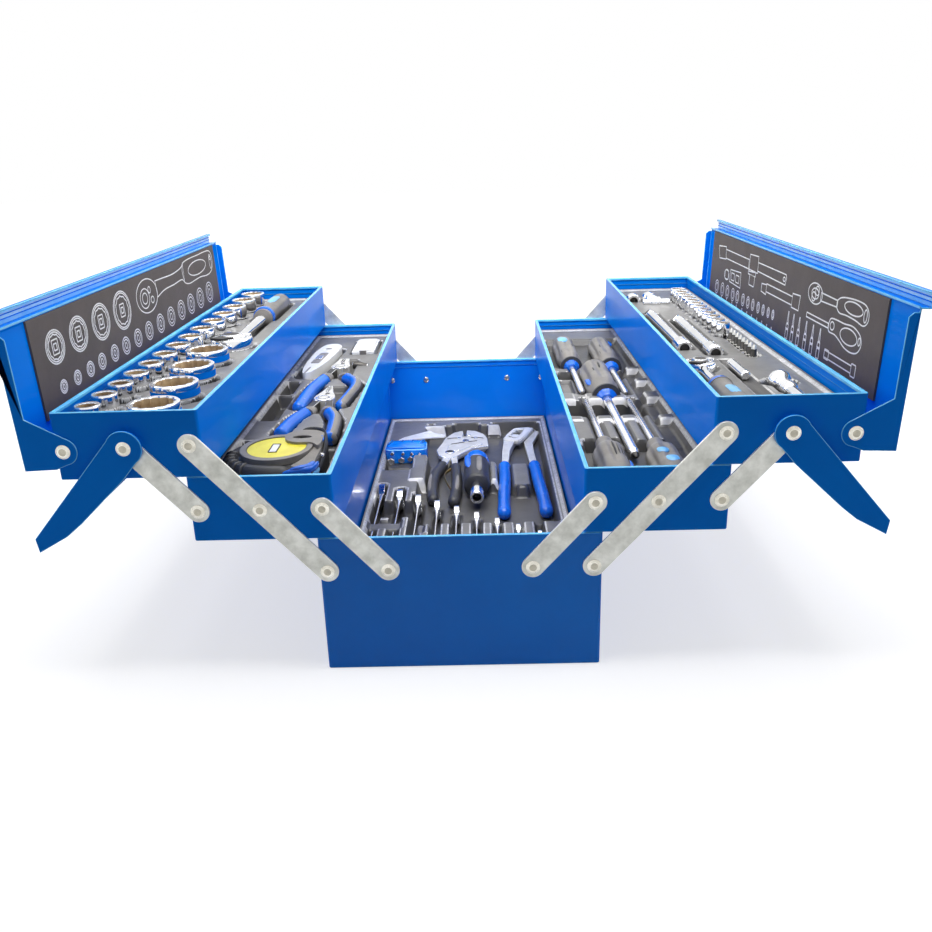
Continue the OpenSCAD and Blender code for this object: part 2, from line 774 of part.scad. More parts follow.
module left_top_recesses() {
    x = ratchet_at[0];
    for (i = [0:small_n - 1])
        translate([small_x(i), small_y(i), socket_floor]) cylinder(r = small_r(i) + recess_fit, h = 60);
    for (i = [0:large_n - 1])
        translate([large_at(i)[0], large_at(i)[1], socket_floor]) cylinder(r = large_r + recess_fit, h = 60);
    translate([x, ratchet_at[1], ratchet_floor]) cylinder(r = ratchet_head_r + recess_fit, h = 60);
    recess(x - 8, x + 8, ratchet_at[1], ratchet_grip[0] + 1, ratchet_z - 7.5);
    recess(x - ratchet_grip_r - 1, x + ratchet_grip_r + 1, ratchet_grip[0] - 1, ratchet_grip[1] + 1,
        ratchet_floor);
}

// The right top tray is drawn on the left and mirrored
drive_n = 12;
function drive_r(i) = 8.4 - 0.2 * i;
function drive_at(i) = in_top([-23, 198 - 18.1 * i]);
module drive_socket_row() for (i = [0:drive_n - 1])
    socket(drive_at(i)[0], drive_at(i)[1], drive_r(i), socket_floor, socket_top - 1);

bit_n = 8;
bit_r = 4;
function bit_at(i) = in_top([-28, -14 - 10 * i]);
module bit_row() for (i = [0:bit_n - 1])
    translate([bit_at(i)[0], bit_at(i)[1], socket_floor]) {
        cylinder(r = bit_r, h = 16, $fn = 6);
        translate([0, 0, 16]) cylinder(r1 = 2.4, r2 = 1.2, h = 10);
    }

// Extension bars as [x, far end, near end]
bar_z = top_top - 1;
bar_rows = [[24, 107, -55], [2, 70, -77]];
bars = [for (b = bar_rows) [top_x + across(b[0]), along(b[1]), along(b[2])]];
module extension(b) {
    along_y(b[0], b[2] + 18, b[1], bar_z, 5);
    along_y(b[0], b[2], b[2] + 22, bar_z, 7);
    translate([b[0] - 3.2, b[1], bar_z - 3.2]) cube([6.4, 9, 6.4]);
}

small_ratchet_at = in_top([27, -124]);
small_grip = [along(-250), along(-180)];
small_neck_r = 4.5;
module ratchet_small() {
    translate([small_ratchet_at[0], small_ratchet_at[1], bar_z]) {
        translate([0, 0, -5]) cylinder(r = 13, h = 11);
        translate([0, 0, 6]) cylinder(r = 7, h = 2);
    }
    along_y(small_ratchet_at[0], small_grip[1] - 24, small_ratchet_at[1] - 8, bar_z, small_neck_r);
}
module ratchet_small_grip() difference() {
    along_y(small_ratchet_at[0], small_grip[0], small_grip[1], bar_z, 9.5);
    along_y(small_ratchet_at[0], small_grip[1] - 24, small_grip[1] + 1, bar_z, small_neck_r);
}

spinner_x = top_x + across(-22);
spinner_y = [along(-246), along(-172)];
module spinner() {
    ball_r = 9;
    translate([spinner_x, spinner_y[1], bar_z]) sphere(ball_r);
    along_y(spinner_x, spinner_y[1] - 28, spinner_y[1] - 6, bar_z, 6);
    along_y(spinner_x, spinner_y[0], spinner_y[1] - 27, bar_z, 4.6);
}

slide_x = top_x - across(2);
slide_y = [along(-154), along(-110)];
slide_slot = [along(-205), along(-95)];
module slide_bar() along_y(slide_x, slide_y[0], slide_y[1], bar_z, 4);

// Universal joint, lying along the tray
joint_x = top_x + across(8);
joint_y = [along(182), along(212)];
joint_r = 7.5;
module joint_piece() {
    mid = (joint_y[0] + joint_y[1]) / 2;
    difference() {
        along_y(joint_x, joint_y[0], mid - 3, bar_z, joint_r);
        along_y(joint_x, joint_y[0] - 1, joint_y[0] + 8, bar_z, 4.5);
    }
    along_y(joint_x, mid - 4, mid + 4, bar_z, 4);
    along_y(joint_x, mid + 3, joint_y[1], bar_z, joint_r);
}

module right_top_recesses() {
    for (i = [0:drive_n - 1])
        translate([drive_at(i)[0], drive_at(i)[1], socket_floor])
            cylinder(r = drive_r(i) + recess_fit, h = 60);
    for (i = [0:bit_n - 1])
        translate([bit_at(i)[0], bit_at(i)[1], socket_floor]) cylinder(r = bit_r + 0.6, h = 60);
    for (b = bars)
        recess(b[0] - 8, b[0] + 8, b[2] - 1, b[1] + 10, bar_z - 7);
    translate([small_ratchet_at[0], small_ratchet_at[1], bar_z - 5]) cylinder(r = 14.5, h = 60);
    recess(small_ratchet_at[0] - 6, small_ratchet_at[0] + 6, small_grip[1] - 1, small_ratchet_at[1],
        bar_z - 5);
    recess(small_ratchet_at[0] - 11, small_ratchet_at[0] + 11, small_grip[0] - 1, small_grip[1] + 1,
        bar_z - 9.5);
    translate([spinner_x, spinner_y[1], bar_z - 9]) cylinder(r = 12, h = 60);
    recess(spinner_x - 7, spinner_x + 7, spinner_y[1] - 29, spinner_y[1], bar_z - 6);
    recess(spinner_x - 5.5, spinner_x + 5.5, spinner_y[0] - 1, spinner_y[1] - 28, bar_z - 4.6);
    recess(slide_x - 5, slide_x + 5, slide_slot[0], slide_slot[1], bar_z - 4);
    recess(joint_x - 9, joint_x + 9, joint_y[0] - 1, joint_y[1] + 1, bar_z - joint_r);
}

// ---------------------------------------------------------------- the nodes

module base_tray() color(paint) tray(0, 0, base_w, base_h,
    [P1, P2, [-P1[0], P1[1]], [-P2[0], P2[1]]]);
module base_insert() color(black) {
    difference() {
        insert_block(0, base_w - 4 * sheet - 2 * insert_fit, base_floor, base_deck);
        base_kit_recesses();
    }
    base_ribs();
}
module base_rivets() color(zinc) for (p = [P1, P2]) {
    rivet_pair(p, head_y);
    rivet_pair([-p[0], p[1]], head_y);
}
module combination_wrenches() color(chrome) for (i = [0:wrench_n - 1]) wrench(i);
module pump_pliers() color(chrome) pump_steel();
module pump_plier_grips() color(tool_blue) pump_grips();
module crimping_pliers() color(chrome) crimp_steel();
module crimping_plier_grips() color(black) crimp_grips();
module stub_driver_grip() color(black) stub_grip();
module stub_driver_socket() color(chrome) stub_socket();
module hex_key_holder() color(tool_blue) hex_holder();
module hex_keys() color(chrome) hex_bores(6);
module saw_blade() color(chrome) saw();

module left_long_links() color(zinc) long_links();
module left_short_links() color(zinc) short_links();
module left_upper_links() color(zinc) upper_links();
module left_mid_tray() color(paint) mid_tray();
module left_mid_rivets() color(zinc) mid_rivets();
module left_mid_insert() color(black) difference() {
    insert_block(mid_x, side_insert_w, mid_floor, mid_deck);
    left_mid_recesses();
}
module left_top_tray() color(paint) top_tray();
module left_top_rivets() color(zinc) top_rivets();
module left_top_insert() color(black) difference() {
    insert_block(top_x, side_insert_w, top_floor, top_deck);
    left_top_recesses();
}
module left_lid() color(paint) lid();
module left_lid_card() color(card_grey) lid_card();
module left_handle() color(paint_dark) handle();

module right_long_links() color(zinc) mirror([1, 0, 0]) long_links();
module right_short_links() color(zinc) mirror([1, 0, 0]) short_links();
module right_upper_links() color(zinc) mirror([1, 0, 0]) upper_links();
module right_mid_tray() color(paint) mirror([1, 0, 0]) mid_tray();
module right_mid_rivets() color(zinc) mirror([1, 0, 0]) mid_rivets();
module right_mid_insert() color(black) mirror([1, 0, 0]) difference() {
    insert_block(mid_x, side_insert_w, mid_floor, mid_deck);
    right_mid_recesses();
}
module right_top_tray() color(paint) mirror([1, 0, 0]) top_tray();
module right_top_rivets() color(zinc) mirror([1, 0, 0]) top_rivets();
module right_top_insert() color(black) mirror([1, 0, 0]) difference() {
    insert_block(top_x, side_insert_w, top_floor, top_deck);
    right_top_recesses();
}
module right_lid() color(paint) mirror([1, 0, 0]) lid();
module right_lid_card() color(card_grey) mirror([1, 0, 0]) lid_card();
module right_handle() color(paint_dark) mirror([1, 0, 0]) handle();

module tape_measure_case() color(black) tape_case();
module tape_measure_hook() color(chrome) tape_hook();
module plier_steel() color(chrome) both_plier_heads();
module plier_grips() color(tool_blue) both_plier_grips();
module utility_knife() color(chrome) knife();
module blade_case() color("white") spare_blade_case();
module screwdriver_blades() color(chrome) mirror([1, 0, 0]) for (d = drivers) driver_blade(d);
module screwdriver_handles() color(black) mirror([1, 0, 0]) for (d = drivers) driver_handle(d);
module screwdriver_collars() color(tool_blue) mirror([1, 0, 0]) for (d = drivers) driver_collar(d);
module small_sockets() color(chrome) small_socket_row();
module large_sockets() color(chrome) large_socket_row();
module large_ratchet() color(chrome) ratchet();
module large_ratchet_grip() color(black) ratchet_grip_solid();
module drive_sockets() color(chrome) mirror([1, 0, 0]) drive_socket_row();
module driver_bits() color(chrome) mirror([1, 0, 0]) bit_row();
module extension_bars() color(chrome) mirror([1, 0, 0]) for (b = bars) extension(b);
module small_ratchet() color(chrome) mirror([1, 0, 0]) ratchet_small();
module small_ratchet_grip() color(black) mirror([1, 0, 0]) ratchet_small_grip();
module bit_spinner() color(chrome) mirror([1, 0, 0]) spinner();
module sliding_bar() color(chrome) mirror([1, 0, 0]) slide_bar();
module universal_joint() color(chrome) mirror([1, 0, 0]) joint_piece();

base_tray();
base_insert();
base_rivets();
combination_wrenches();
pump_pliers();
pump_plier_grips();
crimping_pliers();
crimping_plier_grips();
stub_driver_grip();
stub_driver_socket();
hex_key_holder();
hex_keys();
saw_blade();
left_long_links();
left_short_links();
left_upper_links();
left_mid_tray();
left_mid_rivets();
left_mid_insert();
left_top_tray();
left_top_rivets();
left_top_insert();
left_lid();
left_lid_card();
left_handle();
right_long_links();
right_short_links();
right_upper_links();
right_mid_tray();
right_mid_rivets();
right_mid_insert();
right_top_tray();
right_top_rivets();
right_top_insert();
right_lid();
right_lid_card();
right_handle();
tape_measure_case();
tape_measure_hook();
plier_steel();
plier_grips();
utility_knife();
blade_case();
screwdriver_blades();
screwdriver_handles();
screwdriver_collars();
small_sockets();
large_sockets();
large_ratchet();
large_ratchet_grip();
drive_sockets();
driver_bits();
extension_bars();
small_ratchet();
small_ratchet_grip();
bit_spinner();
sliding_bar();
universal_joint();
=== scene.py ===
# %% [markdown]
# # A cantilever tool box, standing open with its kit
# Five trays of folded sheet steel hang on riveted links, two lids swing out from the top trays and two
# handles hang outside. The measured solids come in first as a fixed frame, in metres. Everything below
# dresses them: it rounds their edges, replaces the plain tools by detailed ones in the same places, and
# gives every surface its finish.

# %% Load the frame
import json
import math
import random

import bmesh
import bpy
import numpy as np
from mathutils import Matrix, Vector
from mathutils.bvhtree import BVHTree


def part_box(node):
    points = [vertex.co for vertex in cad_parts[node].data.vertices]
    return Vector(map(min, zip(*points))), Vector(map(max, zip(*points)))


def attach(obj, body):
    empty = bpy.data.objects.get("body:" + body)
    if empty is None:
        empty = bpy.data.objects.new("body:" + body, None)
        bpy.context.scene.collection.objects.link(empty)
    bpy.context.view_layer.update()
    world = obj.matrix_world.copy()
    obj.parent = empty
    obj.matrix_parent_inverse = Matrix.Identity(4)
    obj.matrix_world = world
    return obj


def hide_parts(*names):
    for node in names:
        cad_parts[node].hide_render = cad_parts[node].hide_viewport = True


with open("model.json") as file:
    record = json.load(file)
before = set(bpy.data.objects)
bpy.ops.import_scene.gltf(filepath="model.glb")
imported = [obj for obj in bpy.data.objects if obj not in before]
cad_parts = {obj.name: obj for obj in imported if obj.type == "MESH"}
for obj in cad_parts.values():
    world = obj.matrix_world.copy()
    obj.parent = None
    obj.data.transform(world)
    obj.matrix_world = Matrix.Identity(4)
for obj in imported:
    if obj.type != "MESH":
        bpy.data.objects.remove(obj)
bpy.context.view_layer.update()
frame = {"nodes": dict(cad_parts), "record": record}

NODES = frame["nodes"]
MM = 0.001
random.seed(7)

# %% [markdown]
# ## Finishes
# Every finish is a Principled shader with a little of what the real surface has: enamel has a slow waviness
# under a hard gloss, zinc is mottled, moulded plastic has a fine grain. Noise textures in object space do
# this without any picture, so the grain keeps its size wherever the piece goes.

# %% A helper that builds one finish
def add_node(tree, kind, **settings):
    made = tree.nodes.new(kind)
    for key, value in settings.items():
        if key[0].isupper():
            made.inputs[key.replace("_", " ")].default_value = value
        else:
            setattr(made, key, value)
    return made


DRIFT_BAND = (0.35, 0.65)  # the part of the noise over which one colour turns into the other
SMOOTHEST, COAT_ROUGHNESS = 0.02, 0.05


def finish(name, light, dark, rough, metal=0.0, coat=0.0, patch=18.0, spread=0.06, bump=(), specular=0.5,
           ior=1.5):
    """A surface that drifts between two colours, with its roughness and its bumps from noise.

    patch is how fine the drift is, and bump lists the (scale, strength, height) of each relief.
    """
    made = bpy.data.materials.new(name)
    made.use_nodes = True
    tree = made.node_tree
    link = tree.links.new
    shader = tree.nodes["Principled BSDF"]
    place = add_node(tree, "ShaderNodeTexCoord").outputs["Object"]
    drift = add_node(tree, "ShaderNodeTexNoise", Scale=patch, Detail=4.0, Roughness=0.6)
    link(place, drift.inputs["Vector"])
    ramp = add_node(tree, "ShaderNodeValToRGB")
    for stop, where, colour in zip(ramp.color_ramp.elements, DRIFT_BAND, (dark, light)):
        stop.position, stop.color = where, (*colour, 1)
    link(drift.outputs["Fac"], ramp.inputs["Fac"])
    link(ramp.outputs["Color"], shader.inputs["Base Color"])
    gloss = add_node(tree, "ShaderNodeMapRange", To_Min=max(SMOOTHEST, rough - spread),
                     To_Max=rough + spread)
    fine = add_node(tree, "ShaderNodeTexNoise", Scale=patch * 7, Detail=3.0)
    link(place, fine.inputs["Vector"])
    link(fine.outputs["Fac"], gloss.inputs["Value"])
    link(gloss.outputs["Result"], shader.inputs["Roughness"])
    normal = None
    for scale, strength, height in bump:
        grain = add_node(tree, "ShaderNodeTexNoise", Scale=scale, Detail=2.0)
        link(place, grain.inputs["Vector"])
        relief = add_node(tree, "ShaderNodeBump", Strength=strength, Distance=height)
        link(grain.outputs["Fac"], relief.inputs["Height"])
        if normal:
            link(normal, relief.inputs["Normal"])
        normal = relief.outputs["Normal"]
    if normal:
        link(normal, shader.inputs["Normal"])
    for name, value in (("Metallic", metal), ("Coat Weight", coat), ("Coat Roughness", COAT_ROUGHNESS),
                        ("Specular IOR Level", specular), ("IOR", ior)):
        shader.inputs[name].default_value = value
    return made


# %% The finishes of the box
PAINT = {"light": (0.001, 0.215, 0.86), "dark": (0.001, 0.18, 0.76), "rough": 0.22, "patch": 5,
         "bump": ((14, 0.14, 0.004), (900, 0.05, 0.0002))}
enamel = finish("blue_enamel", **PAINT, coat=0.05, specular=0.4, ior=1.06)
enamel_deep = finish("blue_enamel_base", **PAINT, coat=0.1, ior=1.22)
# The bright blue is a painted highlight: it lies on the rims, bevels, hem rolls and lid strips of the enamel.
enamel_highlight = finish("blue_enamel_highlight", (0.16, 0.64, 1.0), (0.07, 0.50, 1.0), 0.2, coat=0.2, patch=40,
                     specular=0.4)
# The pale blue is a painted highlight on the lids' hem lips and the hex clip's bevels; it also makes short
# pale marks on the lids.
enamel_pale = finish("blue_enamel_pale", (0.36, 0.74, 1.0), (0.22, 0.62, 1.0), 0.22, coat=0.2, patch=60)
zinc = finish("zinc_plate", (0.9, 0.91, 0.86), (0.6, 0.61, 0.56), 0.4, metal=0.45, patch=75, spread=0.14,
              bump=((260, 0.2, 0.0004), (45, 0.12, 0.001)))
zinc_edge = finish("zinc_edge", (0.80, 0.80, 0.76), (0.66, 0.66, 0.62), 0.3, metal=0.8, patch=60)
zinc_dome = finish("zinc_rivet", (0.86, 0.84, 0.76), (0.6, 0.58, 0.5), 0.22, metal=0.95, patch=120,
                   spread=0.1, bump=((500, 0.1, 0.0003),))
# The darker zinc is the rivet's own brownish tint in the dish, and painted shade on the band round the head's
# edge.
zinc_dish_and_shade = finish("zinc_rivet_dish_and_shade", (0.55, 0.52, 0.43), (0.38, 0.36, 0.3), 0.4, metal=0.8, patch=140)
insert_black = finish("moulded_tray", (0.085, 0.082, 0.08), (0.05, 0.048, 0.047), 0.36, patch=22,
                      bump=((1600, 0.25, 0.0003), (60, 0.2, 0.001)))
# The plastic is one black; the deck grey and the face grey are lit copies of it, painted light, and the lip
# grey is a painted highlight.
insert_deck_lit = finish("moulded_tray_deck_lit", (0.2, 0.195, 0.19), (0.14, 0.136, 0.132), 0.36, patch=26,
                     bump=((1600, 0.2, 0.0003), (50, 0.25, 0.001)))
insert_lip_highlight = finish("moulded_tray_lip_highlight", (0.62, 0.61, 0.6), (0.42, 0.41, 0.4), 0.28, patch=60, coat=0.3)
insert_face_lit = finish("moulded_tray_face_lit", (0.8, 0.79, 0.78), (0.6, 0.59, 0.58), 0.3, patch=60, coat=0.3)
card_grey = finish("card_foam", (0.118, 0.098, 0.09), (0.098, 0.082, 0.075), 0.75, patch=30,
                   bump=((2200, 0.4, 0.0003),))
card_edge = finish("card_foam_edge", (0.05, 0.045, 0.042), (0.03, 0.028, 0.027), 0.8, patch=80)
card_ink = finish("card_white_ink", (0.95, 0.94, 0.92), (0.86, 0.85, 0.83), 0.6, patch=200)
print("box finishes:", len(bpy.data.materials))

chrome = finish("chrome", (0.88, 0.885, 0.90), (0.78, 0.79, 0.81), 0.1, metal=1.0, patch=30, spread=0.05,
                bump=((120, 0.05, 0.0005),))
chrome_rim = finish("chrome_rim", (0.97, 0.97, 0.98), (0.92, 0.92, 0.93), 0.16, metal=0.85, patch=80)
bore_bronze = finish("socket_bore", (0.52, 0.38, 0.22), (0.24, 0.16, 0.09), 0.4, metal=0.25, patch=70,
                     spread=0.1, bump=((300, 0.2, 0.0004),))
forged = finish("forged_steel", (0.76, 0.75, 0.71), (0.58, 0.57, 0.53), 0.38, metal=0.3, patch=60,
                spread=0.1, bump=((420, 0.15, 0.0004),))
ground_steel = finish("ground_steel", (0.93, 0.93, 0.91), (0.76, 0.76, 0.74), 0.34, metal=0.2, patch=70,
                      spread=0.08, bump=((500, 0.1, 0.0003),))
dark_steel = finish("blackened_steel", (0.09, 0.085, 0.08), (0.045, 0.043, 0.04), 0.4, metal=0.8, patch=90,
                    bump=((500, 0.2, 0.0003),))
grip_black = finish("grip_black", (0.045, 0.045, 0.048), (0.028, 0.028, 0.03), 0.45, patch=40,
                    bump=((1300, 0.3, 0.0003),))
grip_grey = finish("grip_grey", (0.24, 0.225, 0.21), (0.17, 0.16, 0.15), 0.42, patch=40,
                   bump=((1300, 0.2, 0.0003),))
grip_blue = finish("grip_blue", (0.006, 0.16, 0.76), (0.005, 0.12, 0.62), 0.26, coat=0.12, patch=30,
                   spread=0.03, bump=((900, 0.03, 0.0001),))
grip_sky = finish("grip_sky_blue", (0.2, 0.56, 0.9), (0.13, 0.44, 0.82), 0.3, coat=0.3, patch=40,
                  bump=((600, 0.1, 0.0003),))
hex_blue = finish("hex_blue", (0.002, 0.28, 1.0), (0.002, 0.21, 0.9), 0.24, coat=0.15, patch=50,
                  bump=((500, 0.1, 0.0003),))
label_yellow = finish("label_yellow", (0.86, 0.78, 0.06), (0.76, 0.66, 0.03), 0.3, coat=0.3, patch=60)
brass = finish("spring_brass", (0.62, 0.42, 0.14), (0.44, 0.29, 0.08), 0.3, metal=0.9, patch=80)
white_plastic = finish("white_plastic", (0.86, 0.86, 0.85), (0.78, 0.78, 0.77), 0.25, patch=30,
                       bump=((300, 0.08, 0.0003),))
print("finishes:", len(bpy.data.materials))

# %% [markdown]
# ## Rounded copies of the solids
# Folded sheet and moulded plastic have no knife edges: light runs along every rim as a thin bright line.
# Copying a solid's mesh, merging its flat faces and bevelling the remaining edges gives that line. The
# bevel's faces take a finish of their own: on the enamel a brighter blue, a painted highlight along every
# rim, on the zinc a more polished metal, and on the cards a darker grey.

# %% Helpers that put a finished piece on its body, in place of its solid
BODIES = frame["record"]["behaviour"]["bodies"]
SLOTS = {part["node"]: part["material_slot"] for part in frame["record"]["subparts"]}


def body_of(node):
    return next(body for body, names in BODIES.items() if node in names)


def keep(made, *nodes):
    """The piece rides on the body of the first node and stands for all of them, whose solids it hides."""
    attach(made, body_of(nodes[0]))
    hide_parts(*nodes)
    return made


def add_to(made, node):
    """The piece rides with a node that stays in view or that another piece stands for."""
    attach(made, body_of(node))
    return made


# %% Helpers that turn mesh code into objects
SHARP = 32  # degrees; an edge that bends more than this is bevelled


def smooth(mesh, angle=35):
    for face in mesh.polygons:
        face.use_smooth = True
    mesh.set_sharp_from_angle(angle=math.radians(angle))


def object_from(bm, name, *materials, angle=35):
    bmesh.ops.recalc_face_normals(bm, faces=bm.faces)
    mesh = bpy.data.meshes.new(name)
    bm.to_mesh(mesh)
    bm.free()
    smooth(mesh, angle)
    for material in materials:
        mesh.materials.append(material)
    made = bpy.data.objects.new(name, mesh)
    bpy.context.scene.collection.objects.link(made)
    return made


# %% Helpers that bevel the sharp edges
def settle(made):
    """Applies the modifiers, so that the mesh is what is seen."""
    ready = made.evaluated_get(bpy.context.evaluated_depsgraph_get())
    mesh = bpy.data.meshes.new_from_object(ready)
    made.modifiers.clear()
    made.data = mesh
    return made


def soften(made, width, edge=None, segments=2):
    """Bevels the sharp edges; edge is the finish number that the bevels take."""
    bevel = made.modifiers.new("round", "BEVEL")
    bevel.width = width * MM
    bevel.segments = segments
    bevel.limit_method = "ANGLE"
    bevel.angle_limit = math.radians(SHARP)
    bevel.use_clamp_overlap = edge is None
    bevel.harden_normals = True
    if edge is not None:
        bevel.material = edge
    return settle(made)


# %% A helper that dresses a whole solid
MERGE_WITHIN, SAME_PLANE, RIM_BAND = 2e-6, math.radians(0.6), 0.3 * MM


def rounded(node, width, main, edge, rim=False):
    """A copy of a solid with merged faces and bevelled edges; the bevels take the edge finish, and rim gives
    the top faces of the rim the edge finish too; with the bright enamel blue both are painted highlights.
    """
    bm = bmesh.new()
    bm.from_mesh(NODES[node].data)
    bmesh.ops.remove_doubles(bm, verts=bm.verts, dist=MERGE_WITHIN)
    bmesh.ops.dissolve_limit(bm, angle_limit=SAME_PLANE, verts=bm.verts, edges=bm.edges)
    top = max(v.co.z for v in bm.verts) - RIM_BAND
    for face in bm.faces:
        face.material_index = int(rim and face.normal.z > 0.9 and face.calc_center_median().z > top)
    return keep(soften(object_from(bm, node + "_skin", main, edge, angle=SHARP), width, 1), node)


# %% Round the sheet metal, the links and the cards
for side in ("left", "right"):
    for part in ("mid_tray", "top_tray"):
        rounded(f"{side}_{part}", 0.42, enamel, enamel_highlight, rim=True)
    rounded(f"{side}_lid", 0.5, enamel, enamel_highlight)
    rounded(f"{side}_handle", 0.45, enamel, enamel_highlight)
    rounded(f"{side}_lid_card", 0.25, card_grey, card_edge)
    for part in ("long_links", "short_links", "upper_links"):
        rounded(f"{side}_{part}", 0.4, zinc, zinc_edge)
rounded("base_tray", 0.42, enamel_deep, enamel_highlight, rim=True)

# %% [markdown]
# ## Four ways to make a shape
# A turned piece is a row of rings round an axis. A dipped grip is a soft section swept along a smooth path.
# A forged or stamped piece is an outline with holes, filled and thickened. A formed tray is a sheet drawn
# down over a mould, so it is one grid of heights. Each helper writes straight into a mesh, in millimetres,
# and gives each face the number of its finish.

# %% Turned shapes
def band(bm, near, far, finish_number=0):
    """Faces between two closed rows of corners; a row that is one point gives triangles."""
    for four in zip(near, near[1:] + near[:1], far[1:] + far[:1], far):
        corners = list(dict.fromkeys(four))
        if len(corners) > 2:
            bm.faces.new(corners).material_index = finish_number


def turn(bm, origin, axis, rings, around=32, ripple=None):
    """Rings are (distance along the axis, radius) and, unless it is 0, the finish number of the band
    that ends there. ripple changes the radius by the angle and the distance."""
    rings = [(*ring, 0)[:3] for ring in rings]
    axis = Vector(axis).normalized()
    side = Vector((0, 0, 1)) if abs(axis.z) < 0.9 else Vector((1, 0, 0))
    side = (side - axis * side.dot(axis)).normalized()
    other = axis.cross(side)
    loops = []
    for far, radius, _ in rings:
        centre = Vector(origin) + axis * far
        if radius < 1e-6:
            loops.append([bm.verts.new(centre * MM)] * around)
            continue
        loop = []
        for k in range(around):
            turned = math.tau * k / around
            reach = radius * (ripple(turned, far) if ripple else 1)
            spoke = side * math.cos(turned) + other * math.sin(turned)
            loop.append(bm.verts.new((centre + spoke * reach) * MM))
        loops.append(loop)
    for near, far, ring in zip(loops, loops[1:], rings[1:]):
        band(bm, near, far, ring[2])


# %% Swept shapes
def smooth_path(points, steps=10):
    """A soft curve through the points."""
    points = [Vector(p) for p in points]
    ends = [points[0] * 2 - points[1]] + points + [points[-1] * 2 - points[-2]]
    path = []
    for a, b, c, d in zip(ends, ends[1:], ends[2:], ends[3:]):
        for k in range(steps):
            t = k / steps
            path.append(0.5 * (2 * b + (c - a) * t + (2 * a - 5 * b + 4 * c - d) * t ** 2
                               + (3 * b - a - 3 * c + d) * t ** 3))
    return path + [points[-1]]


def blunt(end):
    """A section that grows from nothing at both ends, over the share end of the way."""
    return lambda t: math.sqrt(max(0.0, 1 - max(0.0, 1 - min(t, 1 - t) / end) ** 2)) or 0.02


def sweep(bm, path, wide, high, finish_number=0, around=16, count=30, squareness=1.0):
    """A bar along a path; wide and high are functions of the share of the way."""
    path = smooth_path(path)
    gone = [0.0]
    for a, b in zip(path, path[1:]):
        gone.append(gone[-1] + (b - a).length)
    loops = []
    for k in range(count + 1):
        t = (1 - math.cos(math.pi * k / count)) / 2
        far = t * gone[-1]
        i = max(j for j in range(len(path) - 1) if gone[j] <= far + 1e-9)
        ahead = (path[i + 1] - path[i]).normalized()
        centre = path[i] + ahead * (far - gone[i])
        side = ahead.cross(Vector((0, 0, 1)))
        side = side.normalized() if side.length > 1e-3 else Vector((1, 0, 0))
        lift = side.cross(ahead)
        loop = []
        for n in range(around):
            c, s = math.cos(math.tau * n / around), math.sin(math.tau * n / around)
            c = math.copysign(abs(c) ** squareness, c)
            s = math.copysign(abs(s) ** squareness, s)
            loop.append(bm.verts.new((centre + side * c * wide(t) + lift * s * high(t)) * MM))
        loops.append(loop)
    for near, beyond in zip(loops, loops[1:]):
        band(bm, near, beyond, finish_number)
    for cap in (loops[0], loops[-1]):
        bm.faces.new(cap).material_index = finish_number


def pad(bm, path, wide, high, end, finish_number=0, around=16, count=30, squareness=1.0):
    """A bar that grows from nothing at both ends, over the share end of the way."""
    grown = blunt(end)
    sweep(bm, path, lambda t: wide * grown(t), lambda t: high * grown(t), finish_number, around, count,
          squareness)


# %% Outlines
def arc(cx, cy, r, start, stop, steps=12):
    return [(cx + r * math.cos(math.radians(start + (stop - start) * k / steps)),
             cy + r * math.sin(math.radians(start + (stop - start) * k / steps))) for k in range(steps + 1)]


def oval(x, y, half_x, half_y, steps=28, points=0, depth=0.0):
    """An oval outline; points and depth notch it, as the bore of a socket is."""
    made = []
    for k in range(steps):
        turned = math.tau * k / steps
        notch = 1 + depth * abs(math.sin(points * turned / 2))
        made.append((x + half_x * notch * math.cos(turned), y + half_y * notch * math.sin(turned)))
    return made


def fillet(points, radius, steps=4):
    """Rounds every corner of an outline."""
    made = []
    for i, here in enumerate(points):
        here = Vector(here)
        back, on = Vector(points[i - 1]) - here, Vector(points[(i + 1) % len(points)]) - here
        cut = min(radius, back.length * 0.45, on.length * 0.45)
        a, b = here + back.normalized() * cut, here + on.normalized() * cut
        for k in range(steps + 1):
            t = k / steps
            made.append(tuple(a * (1 - t) ** 2 + here * 2 * t * (1 - t) + b * t ** 2))
    return made


def box_of(x0, x1, y0, y1, round_by=0.0, steps=4):
    corners = [(x0, y0), (x1, y0), (x1, y1), (x0, y1)]
    return fillet(corners, round_by, steps) if round_by else corners


# %% Plates made from outlines
def flat(u, v, w):
    return (u, v, w)


def plate(bm, outlines, low, high, place=flat, finish_number=0):
    """Fills outlines, the inner ones as holes, and thickens them from low to high."""
    edges = []
    for outline in outlines:
        corners = [bm.verts.new(Vector(place(u, v, low)) * MM) for u, v in outline]
        edges += [bm.edges.new(pair) for pair in zip(corners, corners[1:] + corners[:1])]
    filled = bmesh.ops.triangle_fill(bm, edges=edges, use_beauty=True, use_dissolve=False)
    faces = [g for g in filled["geom"] if isinstance(g, bmesh.types.BMFace)]
    lifted = bmesh.ops.extrude_face_region(bm, geom=faces)["geom"]
    tops = [g for g in lifted if isinstance(g, bmesh.types.BMVert)]
    bmesh.ops.translate(bm, verts=tops, vec=(Vector(place(0, 0, high)) - Vector(place(0, 0, low))) * MM)
    for vert in {v for f in faces if f.is_valid for v in f.verts} | set(tops):
        for face in vert.link_faces:
            face.material_index = finish_number


print("helpers ready")

# %% [markdown]
# ## Formed tray inserts
# Each tray holds one sheet of black plastic that was heated and drawn down over a mould, so its edges are
# soft and its pockets have sloping walls. A grid of rays looks straight down on the measured insert and
# reads its heights; a short blur does what the stiffness of the hot sheet does. Extra blocks and a raised
# bead are added to the heights before the blur, so that they are part of the same sheet.

